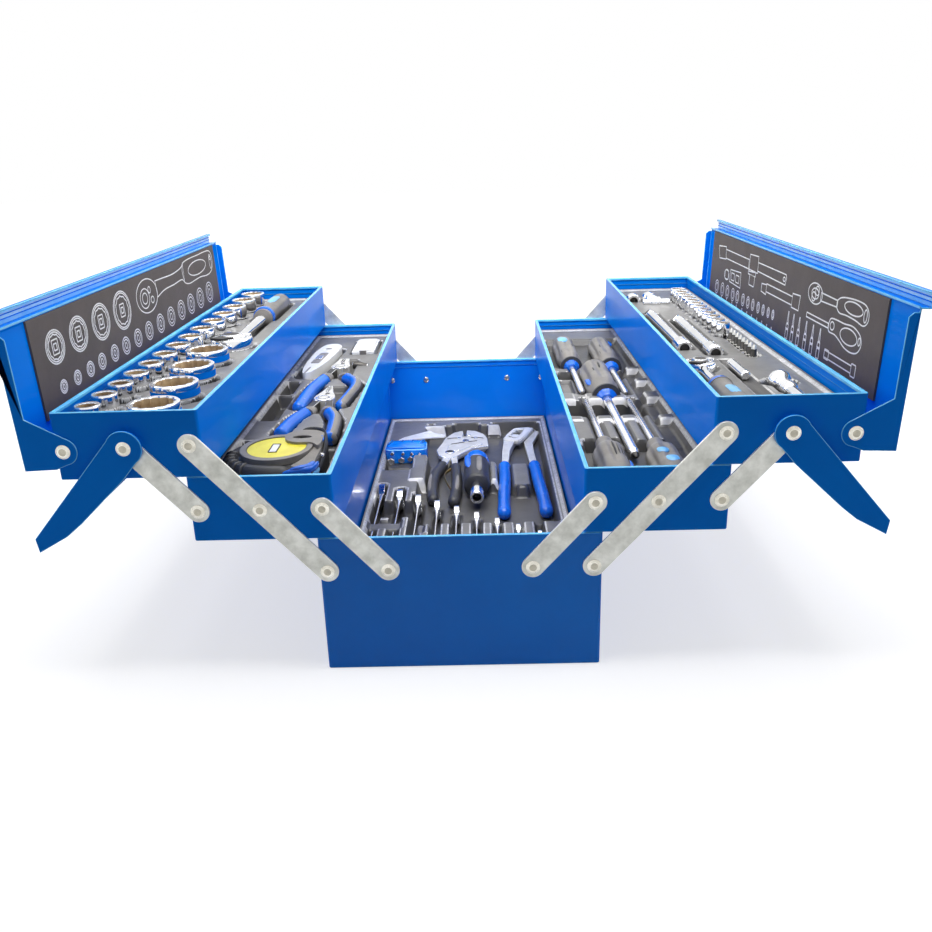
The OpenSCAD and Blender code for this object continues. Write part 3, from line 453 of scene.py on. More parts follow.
# %% A helper that forms one insert, all sizes in millimetres
PITCH, INSET = 1.45, 0.35          # the rays' spacing, and the sheet's clearance from the tray's wall
LIP_UP, GROOVE_DOWN = 1.3, 0.6     # the outer lip, and the groove inside it, from the insert's top
DECK_DOWN, SKIRT = 2.6, 4          # what counts as deck, and the height of the folded rim
LIP_DOWN, STEEP, LEVEL = 1.6, 0.55, 0.6  # a high, steep cell is a lip; a level one on a block is deck
BLOCK_DOWN, FRONT_DEEP = 5, 2.4    # how far under the deck a block may end, and how deep its front face is
BLUR_PASSES, KEPT_FACES = 2, 0.3


def formed(node, blocks):
    """blocks are (x0, x1, y0, y1, top or floor height); the sheet takes the insert's place."""
    solid = NODES[node].data
    mould = BVHTree.FromPolygons([v.co for v in solid.vertices], [p.vertices for p in solid.polygons])
    low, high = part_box(node)
    xs, ys = (np.linspace(low[k] + INSET * MM, high[k] - INSET * MM, round((high[k] - low[k]) / MM / PITCH))
              for k in (0, 1))
    heights = np.zeros((len(xs), len(ys)))
    for i, x in enumerate(xs):
        for j, y in enumerate(ys):
            hit = mould.ray_cast(Vector((x, y, high[2] + 0.01)), Vector((0, 0, -1)))[0]
            heights[i, j] = hit.z if hit else low[2]
    blocks = [tuple(v * MM for v in block) for block in blocks]
    for x0, x1, y0, y1, top in blocks:
        heights[((xs >= x0) & (xs <= x1))[:, None] & ((ys >= y0) & (ys <= y1))[None, :]] = top
    lip, groove = high[2] + LIP_UP * MM, high[2] - GROOVE_DOWN * MM
    for k, level in enumerate((lip, lip, groove, groove)):
        span = slice(k, -k or None)
        for edge in (heights[k, span], heights[-1 - k, span], heights[span, k], heights[span, -1 - k]):
            edge[:] = level
    for _ in range(BLUR_PASSES):
        padded = np.pad(heights, 1, mode="edge")
        heights = (padded[:-2, 1:-1] + padded[2:, 1:-1] + padded[1:-1, :-2] + padded[1:-1, 2:]
                   + 2 * heights) / 6
    heights = np.clip(heights, low[2], lip)
    bm = bmesh.new()
    grid = [[bm.verts.new((x, y, heights[i, j])) for j, y in enumerate(ys)] for i, x in enumerate(xs)]
    deck = high[2] - DECK_DOWN * MM
    # The black is the plastic's own colour and stays in the pockets; the deck and the level block tops take a
    # lighter grey, painted light on the tops; high steep cells at the lip take a light grey, a painted
    # highlight; rising front faces of blocks take a pale grey, painted light where they face the front.
    for i, j in np.ndindex(len(xs) - 1, len(ys) - 1):
        face = bm.faces.new((grid[i][j], grid[i + 1][j], grid[i + 1][j + 1], grid[i][j + 1]))
        x, y, tall = xs[i], ys[j], heights[i:i + 2, j:j + 2]
        steep = tall.max() - tall.min()
        across = [b for b in blocks if b[0] < x < b[1]]
        on_block = any(y0 < y < y1 and top > deck - BLOCK_DOWN * MM for _, _, y0, y1, top in across)
        rises = tall[:, 1].mean() > tall[:, 0].mean()
        face.material_index = int(tall.min() > deck or (on_block and steep < LEVEL * MM))
        if tall.max() > high[2] - LIP_DOWN * MM and steep > STEEP * MM:
            face.material_index = 2
        if rises and any(abs(y - y0) < FRONT_DEEP * MM and top > deck - MM for _, _, y0, _, top in across):
            face.material_index = 3
    rim = [row[0] for row in grid] + grid[-1][1:] + [row[-1] for row in grid[-2::-1]] + grid[0][-2:0:-1]
    band(bm, rim, [bm.verts.new((v.co.x, v.co.y, v.co.z - SKIRT * MM)) for v in rim])
    made = object_from(bm, node + "_sheet", insert_black, insert_deck_lit, insert_lip_highlight, insert_face_lit, angle=60)
    made.modifiers.new("thin", "DECIMATE").ratio = KEPT_FACES
    smooth(settle(made).data, 50)
    return keep(made, node)


# %% Form the five inserts
inserts = {
    "base_insert": [(25.5, 33, 44, 100, 28), (-91, -62, 113, 131, 17), (-62, -44, 48, 128, 29),
                    (-52, -28, 230, 238, 28.6), (25, 41, 230, 238, 28.6), (47.5, 69, 37, 104, 24),
                    (-92, -60, -72, -54, 24), (-47, -38, -84, -60, 24)],
    "left_mid_insert": [],
    "right_mid_insert": [(91, 181, 80, 213, 130.5), (91, 181, -246, -168, 130.5),
                         (163, 181, -168, 80, 131.5), (91, 106, -20, 26, 134),
                         *((x - 7, x + 7, y0, y1, 138.9) for x in (96, 122, 143, 174)
                           for y0, y1 in ((-46, -22), (-110, -96))),
                         *((x, x + 12, y, y + 14, 138.9) for x, y in ((127, 22), (166, 60), (168, 12)))],
    "left_top_insert": [],
    "right_top_insert": [],
}
for node, blocks in inserts.items():
    print(node, "faces:", len(formed(node, blocks).data.polygons))

# %% [markdown]
# ## Hem rolls
# The sheet of each tray is folded inwards at the rim and squeezed, which leaves a soft roll just inside it.
# The whole roll takes the bright blue, a painted highlight, so the rims show as bright lines. Each roll is a
# rounded ring that lies against the fold.

# %% One roll inside each rim
END = 265.0  # the outside of the trays' end walls, along the box

for node in ("base_tray", "left_mid_tray", "left_top_tray", "right_mid_tray", "right_top_tray"):
    low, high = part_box(node)
    x, half, top = (low[0] + high[0]) / 2 / MM, (high[0] - low[0]) / 2 / MM, high[2] / MM
    bm = bmesh.new()
    outlines = [box_of(x - (half - inset), x + (half - inset), -(END - inset), END - inset, corner)
                for inset, corner in ((1.9, 1.5), (3.2, 1.2))]
    plate(bm, outlines, top - 2.6, top - 0.15)
    # The roll's bright blue is a painted highlight.
    roll = object_from(bm, node + "_hem_roll", enamel_highlight, enamel_pale, angle=30)
    add_to(soften(roll, 0.55, segments=3), node)
print("hem rolls: 5")

# %% [markdown]
# ## Rivets
# A rivet is set cold: its head is pressed into a low dome with a shallow dish at its middle, and its tail is
# peened flat inside the tray. The dome catches one small light, which a flat disc would not, so each rivet
# is turned from a short profile.

# %% Where the rivets sit, in millimetres from the middle of the box
BASE_PIVOTS = [(-94, 80.5), (-51, 80.5), (94, 80.5), (51, 80.5)]
MID_PIVOTS = [(-137, 128.5), (-94, 128.5), (-180, 128.5)]
HEAD = 267.42  # where the head of a rivet begins, along the box
TOP_PIVOTS = [(-180, 176.5, HEAD), (-223, 176.5, HEAD + 3.5), (-266, 173.9, HEAD - 1)]


# Finish 1 is the darker zinc: on the dish in the middle it is the rivet's brownish tint, and on the thin band
# round the head's edge it is painted shade around the dome.
def rivet(bm, x, z, head_at):
    for way in (-1, 1):
        out = head_at - END
        turn(bm, (x, way * END, z), (0, way, 0),
             [(-2, 0), (-2, 2.9), (-1.6, 3.5), (-1, 3.55), (-1, 2.98), (out, 2.98), (out, 5.0, 1),
              (out + 0.12, 5.0, 1), (out + 0.2, 4.6), (out + 0.5, 4.35), (out + 0.8, 3.8), (out + 1.0, 3.1),
              (out + 1.05, 2.6), (out + 0.9, 2.2, 1), (out + 0.82, 1.2, 1), (out + 0.85, 0, 1)])


# %% Set the rivets
rivet_rows = {"base_rivets": [(x, z, HEAD) for x, z in BASE_PIVOTS]}
for side, way in (("left", 1), ("right", -1)):
    rivet_rows[f"{side}_mid_rivets"] = [(way * x, z, HEAD) for x, z in MID_PIVOTS]
    rivet_rows[f"{side}_top_rivets"] = [(way * x, z, head) for x, z, head in TOP_PIVOTS]
for node, row in rivet_rows.items():
    bm = bmesh.new()
    for x, z, head in row:
        rivet(bm, x, z, head)
    keep(object_from(bm, node + "_domed", zinc_dome, zinc_dish_and_shade, angle=50), node)
print("rivets:", 2 * sum(len(row) for row in rivet_rows.values()))

# %% [markdown]
# ## Lids: pressed lines of the ridge
# The free edge of a lid is rolled into a stiff ridge. The roller leaves two fine beads along it. The hem's
# inner lip is a pale blue line and two more strips take the bright blue: both blues are painted highlights.
# A few short pale marks lie along the lowest strip. They are thin strips that lie on the ridge, so they are
# drawn as shallow bars in the lid's own shut position and then swung open with it.

# %% From a lid's shut position to where it stands
LID_PIVOT = (-266.0, 173.9)
LID_OPEN = math.radians(92)


def on_lid(way):
    """Maps (out from the pivot, along the box, up) to the open lid; way is 1 left and -1 right."""
    def place(out, along, up):
        x = LID_PIVOT[0] + out * math.cos(LID_OPEN) - up * math.sin(LID_OPEN)
        z = LID_PIVOT[1] + out * math.sin(LID_OPEN) + up * math.cos(LID_OPEN)
        return (way * x, along, z)
    return place


def strip(bm, place, out, up, along, finish_number=0):
    """A bar of (out0, out1), (up0, up1), from along[0] to along[1]."""
    near, far = ([bm.verts.new(Vector(place(o, y, u)) * MM) for o, u in box_of(*out, *up)] for y in along)
    band(bm, near, far, finish_number)
    for cap in (near, far):
        bm.faces.new(cap).material_index = finish_number


# %% Beads, hem lips and short pale marks of both lids
for side, way in (("left", 1), ("right", -1)):
    bm = bmesh.new()
    place = on_lid(way)
    end = 266.2
    # Tone 1 is the bright blue and tone 3 the pale blue, both painted highlights; tones 0 and 2 are plain
    # enamel.
    for out, up, tone in (((83.0, 84.4), (27.2, 28.0), 1), ((84.0, 93.2), (35.5, 36.0), 3),
                          ((86.6, 87.3), (35.1, 35.6), 0), ((89.4, 90.1), (35.1, 35.6), 2),
                          ((91.6, 92.7), (33.4, 35.8), 1)):
        strip(bm, place, out, up, (-end, end), tone)
    for along in (-142, -141, -60, 22, 24, 96):
        strip(bm, place, (83.1, 84.3), (27.4, 28.05), (along, along + random.uniform(2, 7)), 3)
    made = object_from(bm, f"{side}_lid_beads", enamel, enamel_highlight, enamel, enamel_pale)
    add_to(made, f"{side}_lid")
print("lid beads set")

# %% [markdown]
# ## Combination wrenches
# A combination wrench is drop forged: a flat open jaw at one end, a twelve-point ring at the other and a
# slim shank with a groove between them. Each one here stands on its edge, so its outline is drawn along the
# box and upwards, and it is thickened across the box. Head, ring and shank are plates of three thicknesses.

# %% Wrench outlines
THINNEST_TIP, THIN_SHANK = 0.12, 0.28  # shares of the thickness


def wrench(bm, x, back, ring, thick):
    """One wrench on edge at x, from the front of the tray to back, with its ring radius and thickness."""
    front, foot = -250.0, 7.0
    middle = foot + ring
    y0, y1 = front + ring, back - ring
    first = len(bm.verts)

    def upright(u, v, w):
        return (x + w, u, v)

    jaw = [(y0 + ring * math.cos(math.radians(a)), middle + ring * math.sin(math.radians(a)))
           for a in range(209, 512, 12)]
    slot = ring * 0.42
    jaw += [(y0 - ring * 0.9, middle + slot), (y0 + ring * 0.05, middle + slot), (y0 + ring * 0.32, middle),
            (y0 + ring * 0.05, middle - slot), (y0 - ring * 0.9, middle - slot)]
    plate(bm, [jaw], -1, 1, upright)
    bore = ring * 0.6
    plate(bm, [oval(y1, middle, ring, ring, 32), oval(y1, middle, bore, bore, 48, 12, 0.1)], -1, 1, upright)
    low, high = ring * 0.52, ring * 0.36
    ways = [y0 + ring * 0.7 + (y1 - y0 - ring * 1.5) * k / 24 for k in range(25)]
    reach = [high + (low - high) * max(0, 1 - min(y - ways[0], ways[-1] - y) / (ring * 1.6)) ** 2
             for y in ways]
    rows = [[bm.verts.new(Vector((x + a, y, middle + b * h)) * MM)
             for a, b in ((-0.94, -0.8), (-0.7, -1), (0.7, -1), (0.94, -0.8), (0.94, 0.8), (0.7, 1),
                          (-0.7, 1), (-0.94, 0.8))]
            for y, h in zip(ways, reach)]
    for near, far in zip(rows, rows[1:]):
        for k, four in enumerate(zip(near, near[1:] + near[:1], far[1:] + far[:1], far)):
            bm.faces.new(four).material_index = int(k in (1, 5))
    for cap in (rows[0], rows[-1]):
        bm.faces.new(cap)
    for vert in bm.verts[first:]:
        gap = min(abs(vert.co.y / MM - front), abs(back - vert.co.y / MM)) / ring
        if gap < 1:
            swell = math.sqrt(max(THINNEST_TIP, 1 - (1 - gap) ** 2))
        else:
            swell = THIN_SHANK + (1 - THIN_SHANK) * math.exp(-(max(0, gap - 1.4) / 1.1) ** 2)
        vert.co.x = (x + (vert.co.x / MM - x) * thick / 2 * swell) * MM


# %% Nine wrenches in falling sizes
bm = bmesh.new()
for i in range(9):
    wrench(bm, -87 + 19.5 * i, 40 - 13.5 * i, 12 - 0.55 * i, 6.4 - 0.3 * i)
wrenches = object_from(bm, "wrench_set", chrome, chrome_rim, angle=30)
keep(soften(wrenches, 0.35, 1, segments=1), "combination_wrenches")
print("wrench faces:", len(wrenches.data.polygons))

# %% [markdown]
# ## Pump pliers
# Pump pliers slip along a slot in one jaw to change their mouth. The jaws are stamped from thick plate and
# ground, so they keep flat faces with softened edges; the grips are dipped in vinyl, which leaves a smooth
# tube with a swollen tip and a thumb guard. The jaws are two filled outlines, one with the slot as a hole.

# %% Jaws, slot and teeth
def toothed(a, b, count, height):
    """Points of a saw-toothed line from a to b."""
    a, b = Vector(a), Vector(b)
    run = (b - a) / count
    out = Vector((run.y, -run.x)).normalized() * height
    made = []
    for k in range(count):
        made += [tuple(a + run * k), tuple(a + run * (k + 0.5) + out)]
    return made + [tuple(b)]


bm = bmesh.new()
frame_jaw = fillet([(42, 186), (50, 212), (58, 229), (79, 231), (82, 226), (72, 200), (62, 177)], 5)
slot_hole = fillet([(49, 192), (61, 222), (70, 222), (59, 189)], 3)
plate(bm, [frame_jaw, slot_hole], 20.5, 25)
neck_a = fillet([(39, 104), (46, 104), (50, 150), (55, 176), (61, 200), (55, 204), (44, 188), (41, 150)], 4)
plate(bm, [neck_a], 15, 24)
jaw_b = fillet([(71, 104), (79, 104), (78, 150), (78, 184), (89, 226), (84, 233)], 3)[:-1]
jaw_b += toothed((84, 232), (68, 190), 12, -1.3) + [(69, 160)]
plate(bm, [jaw_b], 15.2, 20.4)
for y in (196, 203, 210, 217):
    turn(bm, (51.5 + (y - 196) * 0.45, y, 24.6), (0, 0, 1),
         [(0, 0, 2), (0, 1.5, 2), (0.8, 1.4, 2), (0.9, 0, 2)], 12)
turn(bm, (58, 196, 14.8), (0, 0, 1), [(0, 0, 1), (0, 6, 1), (10.4, 6, 1), (11.2, 5, 1), (11.3, 0, 1)], 24)
plate(bm, [fillet([(44, 187), (51, 211), (58, 227), (77.5, 229), (80, 225), (71, 200), (61, 179)], 5),
           fillet([(48.4, 192), (60, 222.8), (71, 222.8), (59.6, 188)], 3)], 25, 25.7, finish_number=1)
pump = object_from(bm, "pump_plier_jaws", forged, ground_steel, dark_steel, angle=30)
keep(soften(pump, 0.7, 1), "pump_pliers")

# %% Dipped grips
def dipped(bm, path, z, r, flare=1.12):
    """A dipped grip along a level path: a smooth tube, swollen at the tip, with a guard at the neck."""
    def wide(t):
        tip, guard = math.exp(-((t - 0.93) / 0.08) ** 2), math.exp(-((t - 0.05) / 0.03) ** 2)
        swell = 1 + (flare - 1) * tip + 0.16 * guard
        return r * blunt(0.045)(t) * (0.9 + 0.1 * math.sin(math.pi * t)) * min(swell, 1.2) * 0.93
    sweep(bm, [(x, y, z) for x, y in path], wide, lambda t: r * blunt(0.045)(t) * 0.95, 0, 20, 40)


bm = bmesh.new()
for path in (((42, 110), (41, 60), (38.5, 10), (37.5, -34)),
             ((75, 110), (76.5, 60), (78.5, 10), (79, -33))):
    dipped(bm, path, 20, 7)
keep(object_from(bm, "pump_plier_dip", grip_blue, angle=60), "pump_plier_grips")
print("pump pliers made")

# %% [markdown]
# ## Crimping pliers
# The crimper is two stamped plates that turn on a bolt, with a wire notch in the nose and dies further
# back. A bent brass spring between the grips pushes them apart. The plates are outlines again; the inset
# plate behind the bolt and the round bolts give the head its layers.

# %% Head, dies and bolts
bm = bmesh.new()
head = [(-36, 156), (-30, 182), (-27, 200), (-17, 221), (-6, 228.5), (-5, 218), (-6.5, 202), (-1, 200),
        (-1.5, 219), (-1, 229.5), (10, 226), (20, 213), (24, 196), (25, 168), (7, 161), (-3, 147),
        (-10, 136), (-21, 124), (-33, 138)]
plate(bm, [fillet(head, 2.2, 3)], 19.2, 23.4)
under = [(-32, 158), (-27, 184), (-20, 207), (-9, 218), (8, 220), (19, 206), (22, 172), (4, 165),
         (-12, 142), (-22, 130), (-30, 141)]
plate(bm, [fillet(under, 4)], 14.6, 19.1)
inset = [(-24, 150), (-22, 172), (-6, 178), (14, 184), (19, 172), (4, 166), (-8, 150)]
plate(bm, [fillet(inset, 3)], 23.4, 24.1)
plate(bm, [fillet([(-5.4, 229), (-4.9, 203), (-1.9, 203), (-1.7, 229)], 1)], 15, 18.9, finish_number=2)
for a, b in (((-25, 196), (-12, 199)), ((4, 200), (20, 196)), ((-20, 176), (12, 187))):
    sweep(bm, [(*a, 23.6), ((a[0] + b[0]) / 2, (a[1] + b[1]) / 2 + 1, 23.6), (*b, 23.6)], lambda t: 0.6,
          lambda t: 0.5, 2, 8, 8)
for x, y, r in ((-20, 146, 5.6), (-2, 186, 4), (10, 196, 2.4), (-10, 196, 2.2), (2, 207, 2.0)):
    turn(bm, (x, y, 23), (0, 0, 1),
         [(0, 0, 2), (0, r, 2), (1.7, r, 1), (2.1, r * 0.8, 1), (1.9, r * 0.45, 2), (1.9, 0, 2)], 20)
plate(bm, [fillet([(-30, 108), (-23, 108), (-16, 140), (-26, 144)], 2)], 15.2, 22.8)
plate(bm, [fillet([(-16, 104), (-10, 104), (-11, 140), (-20, 143)], 2)], 15.2, 22.8)
crimp = object_from(bm, "crimper_head", forged, chrome_rim, dark_steel, angle=30)
keep(soften(crimp, 0.45, 1), "crimping_pliers")
print("head faces:", len(crimp.data.polygons))

# %% Spring and dipped grips
bm = bmesh.new()
sweep(bm, [(-18, 100, 20), (-24, 82, 20), (-20.5, 55, 20), (-12, 24, 20)], lambda t: 1.0, lambda t: 1.6,
      around=8)
add_to(object_from(bm, "crimper_spring", brass), "crimping_pliers")

bm = bmesh.new()
dipped(bm, [(-26, 118), (-34, 85), (-36, 50), (-34, 7)], 19, 6.4)
dipped(bm, [(-13, 111), (-11, 80), (-10.5, 45), (-13, 1)], 19, 6.4)
# The raised pads are real; their grey is a painted highlight on the black grips.
for path in ([(-37.5, 78, 23.6), (-38.5, 50, 24), (-37, 24, 23.6)],
             [(-10.5, 78, 23.8), (-9.8, 45, 24.2), (-11.8, 18, 23.8)]):
    pad(bm, path, 2.4, 1.1, 0.2, 1, 10, 16)
keep(object_from(bm, "crimper_dip", grip_black, grip_grey, angle=60), "crimping_plier_grips")
print("crimper made")

# %% [markdown]
# ## Stub driver
# A stubby bit driver has a fat handle with shallow finger grooves and a round chuck at its front. It is
# turned, and a ripple in the radius cuts the grooves; the chuck's mouth is a dark round bore.

# %% Grooves that fade out at both ends
def fluted(count, depth, start, stop, blend_over=6.0):
    """A ripple that cuts grooves between two distances and fades out at both."""
    def ripple(turned, far):
        fade = max(0.0, min(1.0, (far - start) / blend_over, (stop - far) / blend_over))
        return 1 - depth * fade * (0.5 + 0.5 * math.cos(count * turned)) ** 2
    return ripple


# %% Handle and chuck
bm = bmesh.new()
turn(bm, (11, 27, 27), (0, 1, 0), [(0, 6.1), (0, 11.4), (0.8, 12.7), (2.4, 13.4), (8, 13.7), (20, 13.9),
                                   (30, 14), (40, 14), (52, 14), (60, 14), (61, 12.9), (62, 14, 1),
                                   (74, 14, 1), (80, 12.8, 1), (84, 10, 1), (85.6, 6, 1), (86, 0, 1)], 60,
     fluted(5, 0.05, 16, 58))
pad(bm, [(3.4, 56, 38), (1.8, 72, 38.6), (1.6, 92, 38.4)], 3.6, 1.6, 0.15, 1, 14, 20)
# The grey strip along the top of the handle is a painted highlight.
pad(bm, [(14, 40, 40.2), (14, 62, 40.6), (14, 84, 40.2)], 3, 0.8, 0.15, 2, 14, 20)
keep(object_from(bm, "stub_driver_handle", grip_black, grip_blue, grip_grey, angle=40), "stub_driver_grip")

bm = bmesh.new()
turn(bm, (11, -3, 27), (0, 1, 0),
     [(10, 0, 2), (10, 4.2, 2), (0.6, 4.4, 2), (0, 4.8, 1), (0, 6.4, 1), (0.8, 7, 1), (9, 7, 1), (9.6, 6.2),
      (11, 6.2), (11.6, 7), (29, 7), (30, 6), (50, 5.8)], 36)
keep(object_from(bm, "stub_driver_chuck", chrome, chrome_rim, dark_steel, angle=35), "stub_driver_socket")
print("stub driver made")

# %% [markdown]
# ## Hex key holder and saw blade
# The keys stand in a moulded clip, two rows of four, and show their bright ground ends. The clip is a
# rounded block with a raised pad over each pair of keys. A hacksaw blade for thin work is stamped strip with
# set teeth.

# %% The clip
bm = bmesh.new()
plate(bm, [box_of(-93.8, -46.2, 132.2, 161.8, 6)], 16, 33)
pad(bm, [(-92.6, 149, 33), (-80, 147, 34.4), (-60, 147, 34.4), (-47.4, 149, 33)], 11.5, 3.4, 0.12, 0, 24,
    30)
for i in range(4):
    x = -88 + 12 * i
    pad(bm, [(x - 2, 141, 36.4), (x + 1, 149, 37.2), (x + 2, 156, 36.4)], 2, 1.2, 0.3, 0, 12, 12)
holder = object_from(bm, "hex_key_clip", hex_blue, grip_black, enamel_pale, angle=30)
# The clip's bevels take the pale blue, a painted highlight along its edges.
keep(soften(holder, 0.9, 2), "hex_key_holder")
print("clip faces:", len(holder.data.polygons))

# %% Eight keys and the saw blade
bm = bmesh.new()
for i in range(8):
    k = i % 4
    r, z = (4.5 - 0.6 * k, 20.6 + 1.5 * k) if i < 4 else (2.2 - 0.1 * k, 30.2 - 0.4 * k)
    x = (-87, -75, -65, -56)[k] + 2 * (i // 4)
    turn(bm, (x, 126.2, z), (0, 1, 0), [(0, 0, 1), (0, r * 0.8, 1), (0.5, r), (24, r), (24, 0)], 6)
keep(object_from(bm, "hex_key_ends", chrome, chrome_rim, angle=30), "hex_keys")

bm = bmesh.new()
blade = [(-82, 181), (-76, 191), (-46, 214.5), *toothed((-40, 204), (-27, 198), 7, 1.2), (-27.5, 189.5),
         *toothed((-60, 184), (-79, 181), 9, -1.1)]
plate(bm, [blade], 27.5, 28.9)
plate(bm, [fillet([(-50, 207), (-43, 205), (-33, 200), (-31, 194), (-44, 195), (-54, 202)], 2)], 28.9, 29.1,
      finish_number=1)
saw = object_from(bm, "saw_blade_toothed", ground_steel, white_plastic, angle=30)
keep(soften(saw, 0.15, segments=1), "saw_blade")
print("keys and blade made")

# %% [markdown]
# ## Tape measure
# The case is a hard shell in a rubber jacket. The jacket has grip ribs at the back of the hand, a round
# yellow face with a small window, a tongue for the wrist loop and a blue lock slide by the mouth. Each layer
# is an outline of its own, thickened and softened, so the steps between rubber and shell read as steps.

# %% The case in its jacket
bm = bmesh.new()
TAPE_X, TAPE_Y = -142.15, -198.0  # the middle of the tape's round back
body = arc(TAPE_X, TAPE_Y, 33, 92, 250, 22)
body += [(-126, -233.4), (-105.5, -233.4), (-104.6, -231), (-104.6, -164), (-110, -153), (-118, -148.5),
         (-128, -149), (-136, -158)]
plate(bm, [body], 118.2, 144)
bumper = [(x, y, 134) for x, y in arc(TAPE_X, TAPE_Y, 29.5, 96, 262, 8)]
bumper += [(-132, -229.6, 134), (-120, -229.4, 134)]
pad(bm, bumper, 6.2, 13, 0.08, 0, 20, 40, 0.8)
for k in range(6):
    a = math.radians(176 + 13 * k)
    x, y = TAPE_X + 30.5 * math.cos(a), TAPE_Y + 30.5 * math.sin(a)
    pad(bm, [(x - 4.5 * math.cos(a), y - 4.5 * math.sin(a), 146.6),
             (x + 2 * math.cos(a), y + 2 * math.sin(a), 146.4),
             (x + 5 * math.cos(a), y + 5 * math.sin(a), 141),
             (x + 5.6 * math.cos(a), y + 5.6 * math.sin(a), 130)], 1.5, 1.3, 0.2, 0, 10, 16)
shoulder = [(-122, -232.6), (-106.2, -232.2), (-105.4, -226), (-105.4, -166), (-111, -156), (-120, -151),
            (-128, -151.6), (-134, -158), (-118, -180), (-112, -200), (-116, -218)]
plate(bm, [fillet(shoulder, 4)], 144, 147.4, finish_number=1)
case = object_from(bm, "tape_jacket", grip_black, grip_grey, angle=30)
keep(soften(case, 1.4, segments=3), "tape_measure_case")
print("case faces:", len(case.data.polygons))

# %% Round face, window and tongue
bm = bmesh.new()
plate(bm, [oval(-138.9, -192.8, 27.2, 30.4, 56), oval(-138.7, -192.5, 22.9, 24.9, 56)], 144.4, 149.4)
plate(bm, [oval(-138.7, -192.5, 23, 25, 56)], 145.4, 148.6, finish_number=1)
plate(bm, [oval(-138.7, -192.5, 23.4, 25.4, 56), oval(-138.7, -192.5, 22.2, 24.2, 56)], 148.6, 149.0,
      finish_number=2)
window = box_of(-143.5, -136.8, -204, -184)
pane = [(x * 0.76 - 140.15 * 0.24, y * 0.88 - 194 * 0.12) for x, y in window]
plate(bm, [fillet(window, 0.8, 2), fillet(pane, 0.5, 2)], 148.6, 149.1, finish_number=2)
plate(bm, [pane], 148.5, 148.8, finish_number=3)
slot = oval(-122.5, -173.5, 7.4, 3.6, 24)
tongue = [(-137.5, -165), (-135, -180), (-126, -187), (-113, -186), (-107, -196), (-105.6, -188),
          (-106, -164), (-114, -156), (-128, -155)]
plate(bm, [fillet(tongue, 6), slot], 147, 150.7)
plate(bm, [oval(-122.5, -173.5, 7.6, 3.8, 24)], 148.9, 149.4, finish_number=2)
face = object_from(bm, "tape_face", grip_grey, label_yellow, grip_black, white_plastic, angle=30)
add_to(soften(face, 0.5), "tape_measure_case")
print("face faces:", len(face.data.polygons))

# %% Ribs, lock, side strip, screw and end hook
bm = bmesh.new()
for k in range(3):
    z = 144.6 - 4.6 * k
    pad(bm, [(-127 + 2 * k, -234.6, z - 2), (-116, -235, z), (-107.4, -233.4, z + 0.6), (-104.6, -226, z),
             (-104, -214, z - 1)], 1.7, 2.5, 0.2, (2, 3, 2)[k], 14, 24)
pad(bm, [(-121, -234.6, 146.2), (-113, -233.8, 147.4), (-107.4, -230, 147.4), (-106, -221, 147)], 2.2, 1.4,
    0.3, 2, 14, 20)
pad(bm, [(-104.2, -212, 136), (-103.8, -196, 140), (-104, -178, 146), (-107, -160, 148.4),
         (-116, -152.4, 148.6), (-127, -152.6, 148)], 1.1, 3.4, 0.1, 1, 12, 30)
pad(bm, [(-107.6, -184, 148.4), (-106.6, -176, 149.4), (-108.4, -168, 149.8)], 1.5, 1.2, 0.3, 2, 12, 14)
turn(bm, (-104.4, -196, 143), (0.4, 0, 1), [(0, 0, 4), (0, 2, 4), (1.4, 1.6, 4), (1.8, 0, 4)], 16)
trim = object_from(bm, "tape_trim", grip_grey, grip_black, grip_blue, grip_sky, chrome_rim, angle=40)
add_to(trim, "tape_measure_case")

bm = bmesh.new()
plate(bm, [box_of(-116.15, -114.95, -235.3, -225.2)], 121.8, 140.8)
keep(soften(object_from(bm, "tape_end_hook", chrome, chrome_rim, angle=30), 0.2, 1), "tape_measure_hook")
print("tape measure made")

# %% [markdown]
# ## Two pairs of pliers
# Pliers are two forged halves on one pin. The halves are polished at the jaws and blackened at the joint,
# and the grips are moulded in two colours, blue inside the hand and grey outside. The heads are outlines with
# a parting line; a dark disc on each jaw stands for the round hole, painted shade. The grips are swept, and
# their outer faces take the second colour.

# %% Heads
def plier_head(bm, x, y, jaw, nose, neck=12.0):
    """Two jaws from a joint at x, y; nose is the half width at the tip."""
    for way in (-1, 1):
        half = [(way * 0.35, 6), (way * 0.35, jaw), (way * nose, jaw),
                (way * (nose * 0.5 + 4.6), jaw * 0.5), (way * 9.4, 8), (way * 10, 0), (way * 7, -8),
                (way * 0.2, -4)]
        plate(bm, [[(x + u, y + v) for u, v in (half if way > 0 else half[::-1])]], 130.5, 140.1)
        shank = [(way * 2, -5), (way * 9.6, -6), (way * 12.5, -30), (way * 6, -34), (way * 4.5, -20)]
        plate(bm, [[(x + u, y + v) for u, v in shank]], 131.2, 139.4, finish_number=2)
        for k in range(5):
            v = jaw * (0.5 + 0.09 * k)
            plate(bm, [box_of(x + way * 0.3, x + way * 2.2, y + v, y + v + 0.7)], 140, 140.25,
                  finish_number=2)
    turn(bm, (x, y, 130.4), (0, 0, 1),
         [(0, 0), (0, 8.6), (9.6, 8.6), (10.2, 8, 1), (10.3, 5.4, 1), (9.9, 5.0, 2), (10.2, 4.6),
          (10.4, 3.4), (10.45, 0)], 28)
    # A thin dark disc on the jaw stands for the round hole: painted shade.
    turn(bm, (x + 1.2, y + jaw * 0.36, 139.9), (0, 0, 1),
         [(0, 0, 2), (0, 2.2, 2), (0.4, 2.2, 2), (0.42, 0, 2)], 16)


